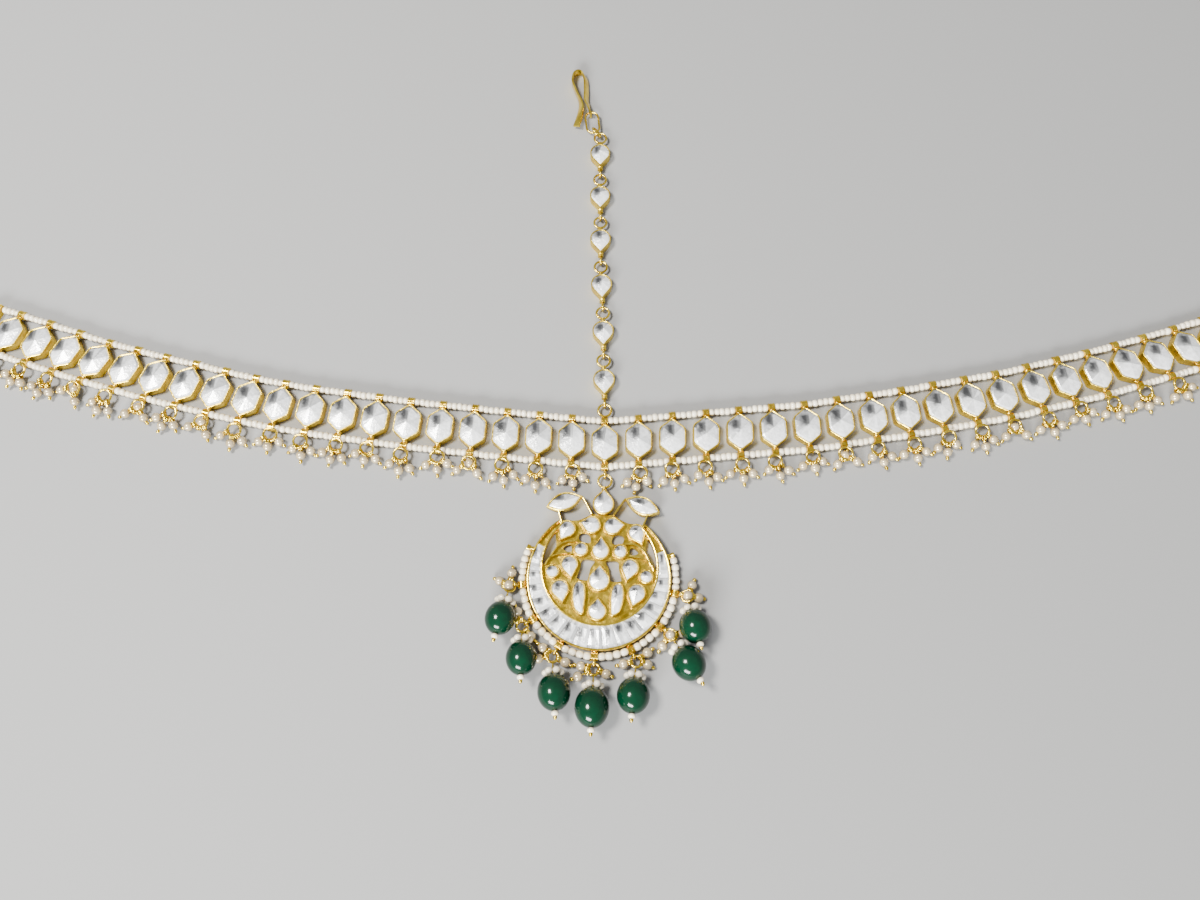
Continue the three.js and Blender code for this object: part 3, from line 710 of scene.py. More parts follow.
def walls_tree() -> bpy.types.NodeTree:
    """Strips of metal standing on edge along paths, with their long edges rounded.

    Returns:
        The node group.
    """
    sketch = GroupSketch("standing_strips", "GeometryNodeTree")
    paths, material, thickness, height, soft = sketch.takes(
        Geometry=("Geometry",), Material=("Material",), Thickness=("Float", 0.00035),
        Height=("Float", 0.0027), Edge_Radius=("Float", 0.0001),
    )
    curve = sketch.geo("MeshToCurve", {"Mesh": paths})
    upright = sketch.geo("SetCurveNormal", {"Curve": curve}, mode="Z_UP")
    section = sketch.geo("CurvePrimitiveQuadrilateral", {"Width": thickness, "Height": height})
    eased = sketch.geo("FilletCurve", {"Curve": section, "Radius": soft, "Count": 2}, mode="POLY")
    swept = sketch.geo("CurveToMesh", {"Curve": upright, "Profile Curve": eased, "Fill Caps": True})
    sketch.finish(swept, material)
    return sketch.tree


def thread_lines(
    name: str,
    lines: Sequence[Sequence[Vector]],
    closed: bool = False,
    numbers: dict[str, Sequence[float]] | None = None,
    counts: dict[str, Sequence[int]] | None = None,
) -> bpy.types.Object:
    """Makes an object of bare lines for a node tree to follow.

    Args:
        name: The piece's name.
        lines: The points of each line, in millimetres.
        closed: Whether each line comes back to its start.
        numbers: One value a line for each named attribute.
        counts: One whole number a line for each named attribute.

    Returns:
        The object.
    """
    points = [p.to_3d() * MM for line in lines for p in line]
    edges: list[tuple[int, int]] = []
    start = 0
    for line in lines:
        edges += [(start + k, start + k + 1) for k in range(len(line) - 1)]
        if closed:
            edges.append((start + len(line) - 1, start))
        start += len(line)
    mesh = bpy.data.meshes.new(name)
    mesh.from_pydata(points, edges, [])
    for kind, table in (("FLOAT", numbers), ("INT", counts)):
        for key, values in (table or {}).items():
            spread = [value for value, line in zip(values, lines) for _ in line]
            mesh.attributes.new(key, kind, "POINT").data.foreach_set("value", spread)
    return stand(name, mesh)


@dataclass(frozen=True)
class Spot:
    """Where a copy goes: its place in millimetres, its turn and its size."""

    place: Vector
    turn: Euler = field(default_factory=Euler)
    size: float = 1.0


def spots_object(name: str, spots: Sequence[Spot]) -> bpy.types.Object:
    """Makes an object of loose points that carry each copy's turn and size.

    Args:
        name: The object's name.
        spots: Where the copies go.

    Returns:
        The object.
    """
    mesh = bpy.data.meshes.new(name)
    mesh.from_pydata([spot.place * MM for spot in spots], [], [])
    turns = mesh.attributes.new("turn", "FLOAT_VECTOR", "POINT")
    turns.data.foreach_set("vector", [angle for spot in spots for angle in spot.turn])
    sizes = mesh.attributes.new("size", "FLOAT", "POINT")
    sizes.data.foreach_set("value", [spot.size for spot in spots])
    return stand(name, mesh)


def grow(
    piece: bpy.types.Object, tree: bpy.types.NodeTree, crease: float, **inputs: Value
) -> bpy.types.Object:
    """Runs a node tree on an object and keeps the result as a plain mesh.

    Args:
        piece: The object with the lines or points.
        tree: The node tree.
        crease: Edges sharper than this many degrees stay sharp.
        **inputs: The tree's inputs, with _ for each space in their names.

    Returns:
        The same object, with its new mesh.
    """
    modifier = piece.modifiers.new("grow", "NODES")
    modifier.node_group = tree
    for item in tree.interface.items_tree:
        key = item.name.replace(" ", "_")
        if item.item_type == "SOCKET" and item.in_out == "INPUT" and key in inputs:
            modifier[item.identifier] = inputs[key]
    graph = bpy.context.evaluated_depsgraph_get()
    graph.update()
    made = bpy.data.meshes.new_from_object(piece.evaluated_get(graph))
    piece.modifiers.clear()
    lines = piece.data
    piece.data = made
    bpy.data.meshes.remove(lines)
    soften(made, crease)
    return piece


# ---------------------------------------------------------------- finishes


def mottling_group() -> bpy.types.NodeTree:
    """Cloudy patches between 0 and 1, with finer ones inside them.

    Returns:
        The node group.
    """
    sketch = GroupSketch("cloudy_patches", "ShaderNodeTree")
    size, contrast = sketch.takes(Patch_Size=("Float", 0.002), Contrast=("Float", 2.0))
    place = sketch.node("ShaderNodeTexCoord").outputs["Object"]
    scale = sketch.math("DIVIDE", 1.0, size)
    noise = sketch.node("ShaderNodeTexNoise", {"Vector": place, "Scale": scale, "Detail": 4.0}).outputs[0]
    centred = sketch.math("SUBTRACT", noise, 0.5)
    mask = sketch.node(
        "ShaderNodeMath", {0: centred, 1: contrast, 2: 0.5}, operation="MULTIPLY_ADD", use_clamp=True
    )
    sketch.give("Mask", "Float", mask.outputs[0])
    return sketch.tree


def dents_group() -> bpy.types.NodeTree:
    """Height of shallow dents with a fine grain on top, as on hand-beaten metal or foil.

    Returns:
        The node group.
    """
    sketch = GroupSketch("shallow_dents", "ShaderNodeTree")
    size, grain = sketch.takes(Dent_Size=("Float", 0.001), Grain=("Float", 0.25))
    place = sketch.node("ShaderNodeTexCoord").outputs["Object"]
    scale = sketch.math("DIVIDE", 1.0, size)
    dent = sketch.node(
        "ShaderNodeTexVoronoi", {"Vector": place, "Scale": scale, "Smoothness": 0.6}, feature="SMOOTH_F1"
    ).outputs["Distance"]
    fine = sketch.math("MULTIPLY", scale, 4.0)
    noise = sketch.node("ShaderNodeTexNoise", {"Vector": place, "Scale": fine, "Detail": 3.0}).outputs[0]
    height = sketch.node("ShaderNodeMath", {0: noise, 1: grain, 2: dent}, operation="MULTIPLY_ADD").outputs[0]
    sketch.give("Height", "Float", height)
    return sketch.tree


class Workshop:
    """Node trees that several pieces share, each built once."""

    def __init__(self) -> None:
        """Builds the trees."""
        self.beads = beads_tree()
        self.copies = copies_tree()
        self.wires = wires_tree()
        self.walls = walls_tree()
        self.mottling = mottling_group()
        self.dents = dents_group()

    def wire(
        self, name: str, lines: Sequence[Sequence[Vector]], radius: float, sides: int,
        material: bpy.types.Material, closed: bool = False,
    ) -> bpy.types.Object:
        """Makes a piece of round wires.

        Args:
            name: The piece's name.
            lines: The wires' middle lines.
            radius: The wires' radius.
            sides: Sides of a wire.
            material: Its material.
            closed: Whether each wire comes back to its start.

        Returns:
            The piece.
        """
        return grow(
            thread_lines(name, lines, closed), self.wires, WIRE_CREASE,
            Material=material, Wire_Radius=radius * MM, Sides=sides,
        )

    def wall(
        self, name: str, lines: Sequence[Sequence[Vector]], size: tuple[float, float, float],
        material: bpy.types.Material, closed: bool = False,
    ) -> bpy.types.Object:
        """Makes a piece of thin walls.

        Args:
            name: The piece's name.
            lines: The walls' middle lines.
            size: Thickness, height and edge radius.
            material: Its material.
            closed: Whether each wall comes back to its start.

        Returns:
            The piece.
        """
        thickness, height, soft = (side * MM for side in size)
        return grow(
            thread_lines(name, lines, closed), self.walls, GOLD_CREASE,
            Material=material, Thickness=thickness, Height=height, Edge_Radius=soft,
        )


class Finish:
    """A material under construction: its node tree, its shader and its mottling."""

    def __init__(self, name: str, shop: Workshop) -> None:
        """Starts a material.

        Args:
            name: The material's name.
            shop: The shared node trees.
        """
        self.material = bpy.data.materials.new(name)
        self.material.use_nodes = True
        self.sketch = NodeSketch(self.material.node_tree)
        self.shader = self.material.node_tree.nodes["Principled BSDF"]
        self.shop = shop

    def set(self, **values: Value) -> None:
        """Sets or links the shader's inputs, with _ for each space in their names."""
        for name, value in values.items():
            self.sketch.feed(self.shader.inputs[name.replace("_", " ")], value)

    def mottle(self, size: float, contrast: float) -> bpy.types.NodeSocket:
        """A cloudy mask with patches of a size in metres.

        Args:
            size: Size of the patches.
            contrast: How hard their edges are.

        Returns:
            The mask.
        """
        group = self.sketch.node(
            "ShaderNodeGroup", {"Patch Size": size, "Contrast": contrast}, node_tree=self.shop.mottling
        )
        return group.outputs["Mask"]

    def dent(self, size: float, grain: float, depth: float) -> None:
        """Gives the surface dents of a size and depth in metres.

        Args:
            size: Size of the dents.
            grain: Height of the fine grain against theirs.
            depth: How deep they are.
        """
        inputs = {"Dent Size": size, "Grain": grain}
        group = self.sketch.node("ShaderNodeGroup", inputs, node_tree=self.shop.dents)
        height = {"Height": group.outputs["Height"], "Distance": depth, "Strength": 1.0}
        bump = self.sketch.node("ShaderNodeBump", height)
        self.set(Normal=bump.outputs[0])


@dataclass(frozen=True)
class GoldFinish:
    """Warm yellow gold plate, darker in random cloudy patches."""

    name: str
    colour: tuple[float, float, float] = (1.0, 0.75, 0.09)
    shade: tuple[float, float, float] = (0.60, 0.38, 0.02)
    smooth: float = 0.16
    rough: float = 0.34
    dent_size: float = 0.0009
    dent_depth: float = 0.00004

    def material(self, shop: Workshop) -> bpy.types.Material:
        """Makes the material.

        Args:
            shop: The shared node trees.

        Returns:
            The material.
        """
        finish = Finish(self.name, shop)
        patches = finish.mottle(0.0024, 2.2)
        finish.set(
            Base_Color=finish.sketch.blend(patches, (*self.shade, 1), (*self.colour, 1)),
            Roughness=finish.sketch.between(finish.mottle(0.0011, 2.0), self.smooth, self.rough),
            Metallic=1.0,
        )
        finish.dent(self.dent_size, 0.3, self.dent_depth)
        return finish.material


@dataclass(frozen=True)
class StoneFinish:
    """Glass over crinkled silver foil, with facets greyed by a random tone and painted shade, and a painted
    dark reflection on each stone.
    """

    name: str = "foiled_stone"
    bright: tuple[float, float, float] = (0.97, 0.975, 0.97)
    pale: tuple[float, float, float] = (0.74, 0.74, 0.72)
    grey: tuple[float, float, float] = (0.13, 0.13, 0.128)
    reflection_dark: tuple[float, float, float] = (0.018, 0.018, 0.018)
    # right, left, low and high place the painted dark reflection within each stone.
    right: Point = (0.1, 0.0)  # where each side of the dark wedge starts to show and shows in full
    left: Point = (-0.9, -0.42)
    low: Point = (-0.12, 0.12)
    high: Point = (0.84, 0.64)
    reflection_wedge: float = 0.62
    shade: float = 0.36

    def patch(self, finish: Finish) -> bpy.types.NodeSocket:
        """A painted dark reflection: a wedge left of each stone's middle line, crisp on its right and soft on
        its left, with painted grey shade towards its upper left.

        Args:
            finish: The material that it is drawn in.

        Returns:
            The mask, from 0 to 1.
        """
        sketch = finish.sketch
        mark = sketch.node("ShaderNodeAttribute", attribute_name="stone_mark").outputs["Vector"]
        x, y, chance = sketch.node("ShaderNodeSeparateXYZ", {0: mark}).outputs
        ragged = sketch.math("MULTIPLY_ADD", finish.mottle(0.0012, 2.0), 0.3, -0.15)
        other = sketch.math("FRACT", sketch.math("MULTIPLY", chance, 7.3))
        across = sketch.math("ADD", x, sketch.math("MULTIPLY_ADD", chance, 0.3, -0.12))
        along = sketch.math("ADD", y, sketch.math("MULTIPLY_ADD", other, 0.24, -0.12))

        def fade(value: bpy.types.NodeSocket, start: float, end: float) -> bpy.types.NodeSocket:
            """Goes from 0 to 1 between two values."""
            inputs = {"Value": value, "From Min": start, "From Max": end}
            return sketch.node("ShaderNodeMapRange", inputs).outputs[0]

        right = fade(sketch.math("MULTIPLY_ADD", ragged, 0.2, across), *self.right)
        left = fade(sketch.math("ADD", across, ragged), *self.left)
        low = fade(sketch.math("ADD", along, ragged), *self.low)
        high = fade(sketch.math("MULTIPLY_ADD", ragged, 0.5, along), *self.high)
        sides, ends = sketch.math("MULTIPLY", right, left), sketch.math("MULTIPLY", low, high)
        shade = sketch.math("MULTIPLY", fade(across, 0.12, -0.25), fade(along, -0.5, 0.35))
        darker = sketch.math("MULTIPLY", shade, self.shade)
        return sketch.math("MULTIPLY_ADD", sketch.math("MULTIPLY", sides, ends), self.reflection_wedge, darker)

    def material(self, shop: Workshop) -> bpy.types.Material:
        """Makes the material.

        Args:
            shop: The shared node trees.

        Returns:
            The material.
        """
        finish = Finish(self.name, shop)
        sketch = finish.sketch
        silver = sketch.blend(finish.mottle(0.0011, 3.0), (*self.pale, 1), (*self.bright, 1))
        # Painted shade: each facet greyed by its stored grey, then the painted dark reflection laid over it.
        shade_mask = sketch.node("ShaderNodeAttribute", attribute_name="facet_tone_and_shade").outputs["Fac"]
        tone_and_shade = sketch.blend(shade_mask, silver, (*self.grey, 1))
        finish.set(
            Base_Color=sketch.blend(self.patch(finish), tone_and_shade, (*self.reflection_dark, 1)),
            Roughness=sketch.between(finish.mottle(0.0006, 2.0), 0.14, 0.34),
            Metallic=0.15,
            Coat_Weight=1.0,
            Coat_Roughness=0.04,
        )
        finish.dent(0.0007, 0.5, 0.00006)
        return finish.material


@dataclass(frozen=True)
class BeadFinish:
    """Glossy bead whose tone differs a little from bead to bead, with painted shade darkening it towards its
    outline.
    """

    name: str
    light: tuple[float, float, float]
    deep: tuple[float, float, float]
    # edge is the painted shade colour at the bead's outline; rim sets how far in it reaches.
    edge: tuple[float, float, float]
    gloss: float = 0.3
    coat: float = 0.4
    patch: float = 0.0012
    rim: float = 0.4
    sheen: float = 0.0
    glint: float = 0.5

    def material(self, shop: Workshop) -> bpy.types.Material:
        """Makes the material.

        Args:
            shop: The shared node trees.

        Returns:
            The material.
        """
        finish = Finish(self.name, shop)
        sketch = finish.sketch
        island = sketch.node("ShaderNodeNewGeometry").outputs["Random Per Island"]
        own = sketch.math("MULTIPLY", island, 0.5)
        cloud = sketch.math("MULTIPLY_ADD", finish.mottle(self.patch, 2.0), 0.5, own)
        body = sketch.blend(cloud, (*self.deep, 1), (*self.light, 1))
        # Painted shade: the colour darkens towards edge near the bead's outline, as the camera sees it.
        shade_mask = sketch.node("ShaderNodeLayerWeight", {"Blend": self.rim}).outputs["Facing"]
        finish.set(
            Base_Color=sketch.blend(sketch.math("MULTIPLY", shade_mask, 0.8), body, (*self.edge, 1)),
            Roughness=sketch.between(finish.mottle(self.patch, 1.5), self.gloss * 0.7, self.gloss * 1.2),
            Metallic=self.sheen,
            Specular_IOR_Level=self.glint,
            Coat_Weight=self.coat,
            Coat_Roughness=0.08,
        )
        finish.dent(self.patch, 0.5, 0.00001)
        return finish.material


class Palette:
    """Every material of the jewel."""

    def __init__(self, shop: Workshop) -> None:
        """Makes the materials.

        Args:
            shop: The shared node trees.
        """
        self.bright_gold = GoldFinish("bright_gold", smooth=0.12, rough=0.26).material(shop)
        self.satin_gold = GoldFinish("satin_gold", smooth=0.22, rough=0.42, dent_depth=0.00007).material(shop)
        # Darker than the other golds: painted shade on the pendant's floor, which lies sunk between the
        # stones.
        self.beaten_gold = GoldFinish(
            "beaten_gold", (0.82, 0.57, 0.055), (0.42, 0.26, 0.014), smooth=0.16, rough=0.32,
            dent_size=0.0019, dent_depth=0.00011,
        ).material(shop)
        self.stone = StoneFinish().material(shop)
        self.seed = BeadFinish(
            "seed_cream", (0.95, 0.87, 0.69), (0.82, 0.72, 0.52), (0.40, 0.31, 0.20),
            gloss=0.28, coat=0.7, rim=0.35,
        ).material(shop)
        self.pearl = BeadFinish(
            "ivory_pearl", (0.70, 0.58, 0.36), (0.50, 0.39, 0.22), (0.05, 0.035, 0.02),
            gloss=0.2, coat=1.0, sheen=0.35,
        ).material(shop)
        self.green = BeadFinish(
            "emerald_glass", (0.0, 0.030, 0.011), (0.0, 0.014, 0.0055), (0.0, 0.004, 0.002),
            gloss=0.16, coat=0.1, glint=0.28,
        ).material(shop)
        self.thread = BeadFinish(
            "pale_thread", (0.62, 0.55, 0.42), (0.42, 0.35, 0.24), (0.3, 0.24, 0.16), gloss=0.8, coat=0.0
        ).material(shop)


# ---------------------------------------------------------------- shared jewellery forms


def loft(shape: Shape, levels: Sequence[tuple[Sequence[Vector], float]], place: Matrix) -> None:
    """Adds a closed body through outlines, each with its height and all with as many points."""
    points = [p for outline, z in levels for p in at_height(outline, z)]
    shape.add(points, skin(len(levels), len(levels[0][0])), place)


@dataclass(frozen=True)
class Bezel:
    """Thin gold wall round a stone, closed behind."""

    wall: float = 0.36
    base: float = 0.0
    top: float = 2.72
    soft: float = 0.1
    seat: float = 1.5

    def add_to(self, shape: Shape, outline: Sequence[Vector], place: Matrix) -> None:
        """Adds one bezel round an outline.

        Args:
            shape: The piece that it is added to.
            outline: The stone's outline.
            place: Where the outline lies.
        """
        face = inset(outline, self.wall)
        loft(
            shape,
            [
                (inset(outline, self.soft), self.base),
                (outline, self.base + self.soft),
                (outline, self.top - self.soft),
                (inset(outline, self.soft), self.top),
                (inset(outline, self.wall - self.soft), self.top),
                (face, self.top - self.soft),
                (face, self.seat),
            ],
            place,
        )


@dataclass(frozen=True)
class Settings:
    """Stones with their bezels, gathered into one gold piece and one stone piece."""

    bezel: Bezel = field(default_factory=Bezel)
    cut: StoneCut = field(default_factory=StoneCut)
    gold: Shape = field(default_factory=Shape)
    stones: Shape = field(default_factory=Shape)
    sunk: float = 0.16

    def add(
        self, outline: Sequence[Vector], stone: Sequence[Vector], place: Matrix, dice: random.Random
    ) -> None:
        """Adds a bezel on one outline and a stone on another, a little inside it."""
        self.bezel.add_to(self.gold, outline, place)
        self.cut.add_to(self.stones, stone, self.bezel.top - self.sunk, place, dice)


def at_place(x: float, y: float, degrees: float = 0.0, z: float = 0.0) -> Matrix:
    """A place on the ground with a turn about the vertical."""
    return Matrix.Translation((x, y, z)) @ Matrix.Rotation(math.radians(degrees), 4, "Z")


def lying(place: Matrix, point: Vector, along: Vector) -> Matrix:
    """A place whose origin is at a point of another place and whose Z axis lies along a direction."""
    return place @ Matrix.Translation(point) @ along.to_track_quat("Z", "Y").to_matrix().to_4x4()


def hoop_line(radius: float, steps: int, place: Matrix) -> list[Vector]:
    """The middle line of a round ring that lies in a place's own XY plane."""
    return [place @ p for p in at_height(round_outline(radius, steps), 0)]


def sphere_profile(radius: float, rings: int, stretch: float = 1.0) -> list[Point]:
    """Radius and height of each level of a ball; stretch is its height against its width."""
    angles = [math.pi * (k + 0.35) / (rings - 0.3) - math.pi / 2 for k in range(rings)]
    return [(radius * math.cos(a), radius * stretch * math.sin(a)) for a in angles]


# Radius and height of each ring of the turned parts, from the lowest up.
RIBBED: list[Point] = [
    (1.0, -0.9), (1.22, -0.82), (1.22, -0.6), (1.06, -0.5), (1.06, -0.28), (1.18, -0.18), (1.18, 0.18),
    (1.06, 0.28), (1.06, 0.5), (1.22, 0.6), (1.22, 0.82), (1.0, 0.9), (0.55, 0.9), (0.55, -0.9),
]
BARREL: list[Point] = [
    (0.42, 0.0), (0.58, 0.04), (0.58, 0.3), (0.46, 0.4), (0.46, 0.6), (0.58, 0.7), (0.58, 0.96), (0.42, 1.0),
]
NECK: list[Point] = [(0.75, 0.0), (0.62, 0.3), (0.62, 0.7), (0.8, 1.0)]
SEED_PROFILE: list[Point] = [
    (0.2, -0.5), (0.38, -0.43), (0.48, -0.23), (0.5, 0.0), (0.48, 0.23), (0.38, 0.43), (0.2, 0.5),
]


def barrel(shape: Shape, wide: float, tall: float, sides: int, place: Matrix) -> None:
    """Adds a small waisted stem, so much wider than the plain one, that stands on a place."""
    shape.lathe([(r * wide, z * tall) for r, z in BARREL], sides, place)


@dataclass
class Findings:
    """Small gold parts and pearls that hang from rings, gathered for the whole jewel."""

    shop: Workshop
    palette: Palette
    dice: random.Random
    rings: list[list[Vector]] = field(default_factory=list)
    pins: list[list[Vector]] = field(default_factory=list)
    loops: list[list[Vector]] = field(default_factory=list)
    balls: list[Spot] = field(default_factory=list)
    pearls: list[Spot] = field(default_factory=list)
    wire: float = 0.34
    pin: float = 0.23
    ball: float = 0.54
    pearl: float = 1.36
    pearl_z: float = 1.48
    ring_steps: int = 24
    loop: float = 0.66
    loop_lean: float = 0.35
    loop_out: Point = (0.05, 0.25)
    loop_steps: tuple[float, float, float] = (-0.42, 0.0, 0.42)

    def ring(self, place: Matrix, radius: float) -> None:
        """Adds a jump ring that lies in a place's XY plane."""
        self.rings.append(hoop_line(radius, self.ring_steps, place))

    def eye(self, place: Matrix, side: str, radius: float = 0.95, steps: int = 16) -> None:
        """Adds a small eye that stands on edge, about the X or Y axis of its place."""
        self.rings.append(hoop_line(radius, steps, place @ Matrix.Rotation(math.pi / 2, 4, side)))

    def pearl_on(self, ring: Matrix, radius: float, pearl: Vector) -> None:
        """Hangs a pearl on its headpin from the nearest point of a ring.

        Args:
            ring: The ring's place.
            radius: The ring's radius.
            pearl: The middle of the pearl.
        """
        hoop = hoop_line(radius, self.ring_steps, ring)
        hold = min(hoop, key=lambda p: (p - pearl).length)
        out = (pearl - hold).normalized()
        side = (hold - ring.translation).normalized().cross(ring.to_3x3() @ Vector((0, 0, 1)))
        turn = Matrix((out, side.cross(out).normalized(), side)).transposed().to_4x4()
        for shift in self.loop_steps:
            lean = Matrix.Rotation(self.dice.uniform(-self.loop_lean, self.loop_lean), 4, "X")
            middle = Matrix.Translation(hold + out * self.dice.uniform(*self.loop_out) + side * shift)
            self.loops.append(hoop_line(self.loop, 12, middle @ turn @ lean))
        end = pearl + out * (self.pearl + 0.3)
        self.pins.append([hold + out * 0.6, pearl - out * 0.9, end])
        self.balls.append(Spot(end, out.to_track_quat("Z", "Y").to_euler()))
        spin = Euler([self.dice.uniform(0, 2 * math.pi) for _ in range(3)])
        self.pearls.append(Spot(pearl, spin, self.dice.uniform(0.98, 1.03)))

    def build(self) -> dict[str, bpy.types.Object]:
        """Makes the pieces.

        Returns:
            The pieces by their names.
        """
        gold = self.palette.bright_gold
        made: dict[str, bpy.types.Object] = {}
        for name, lines, radius, sides, closed in (
            ("jump_rings", self.rings, self.wire, 8, True),
            ("pin_loops", self.loops, self.pin, 6, True),
            ("head_pins", self.pins, self.pin, 6, False),
        ):
            made[name] = self.shop.wire(name, lines, radius, sides, gold, closed)
        for name, spots, profile, sides, crease, material, uneven, seed in (
            ("pin_balls", self.balls, sphere_profile(self.ball, 5, 1.3), 8, WIRE_CREASE, gold, 0.12, 5),
            (
                "pearls", self.pearls, sphere_profile(self.pearl, 8, 0.95), 14, BEAD_CREASE,
                self.palette.pearl, 0.05, 9,
            ),
        ):
            shape = Shape()
            shape.lathe(profile, sides)
            model = shape.build(name + "_model")
            made[name] = grow(
                spots_object(name, spots), self.shop.copies, crease,
                Copy=model, Material=material, Unevenness=uneven, Seed=seed,
            )
            bpy.data.objects.remove(model)
        return made


@dataclass
class SeedStrings:
    """Seed beads on their threads, gathered for the whole jewel."""

    shop: Workshop
    palette: Palette
    spans: list[list[Vector]] = field(default_factory=list)
    counts: list[int] = field(default_factory=list)
    pitches: list[float] = field(default_factory=list)
    threads: list[list[Vector]] = field(default_factory=list)
    thread: float = 0.3

    def span(self, line: Sequence[Vector], count: int) -> None:
        """Fills a line with a number of beads.

        Args:
            line: The line, point by point.
            count: Number of beads.
        """
        length = sum((b - a).length for a, b in zip(line, line[1:]))
        pitch = length / count
        first = line[0] + (line[1] - line[0]).normalized() * pitch / 2
        last = line[-1] + (line[-2] - line[-1]).normalized() * pitch / 2
        self.spans.append([first, *line[1:-1], last])
        self.counts.append(count)
        self.pitches.append(pitch * MM)

    def build(self, width: float) -> dict[str, bpy.types.Object]:
        """Makes the beads and threads.

        Args:
            width: Width of a bead, in millimetres.

        Returns:
            The pieces by their names.
        """
        model = Shape()
        model.lathe([(r / MM, z / MM) for r, z in SEED_PROFILE], 10)
        bead = model.build("seed_model")
        lines = thread_lines(
            "seed_beads", self.spans, numbers={"pitch": self.pitches}, counts={"beads": self.counts}
        )
        beads = grow(
            lines, self.shop.beads, SEED_CREASE, Bead=bead, Material=self.palette.seed,
            Bead_Width=width * MM, Unevenness=0.06, Wobble=0.13, Stray=0.09 * MM, Seed=3,
        )
        bpy.data.objects.remove(bead)
        threads = self.shop.wire("threads", self.threads, self.thread, 6, self.palette.thread)
        return {"seed_beads": beads, "threads": threads}


def seat(piece: bpy.types.Object, slot: Slot, nodes: Sequence[str]) -> None:
    """Ties a finished piece to the solid model and reports it.

    Args:
        piece: The finished piece.
        slot: The solid model's material slot for the piece; not used.
        nodes: The solids that it stands for.
    """
    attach(piece, "root")
    if nodes:
        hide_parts(*nodes)
    log.info("%s: %d faces", piece.name, len(piece.data.polygons))


# ---------------------------------------------------------------- the band


@dataclass(frozen=True)
class Unit:
    """One stone of the band: its name, place and lean in degrees."""

    name: str
    x: float
    y: float
    lean: float

    def place(self) -> Matrix:
        """The unit's own frame."""
        return at_place(self.x, self.y, self.lean)


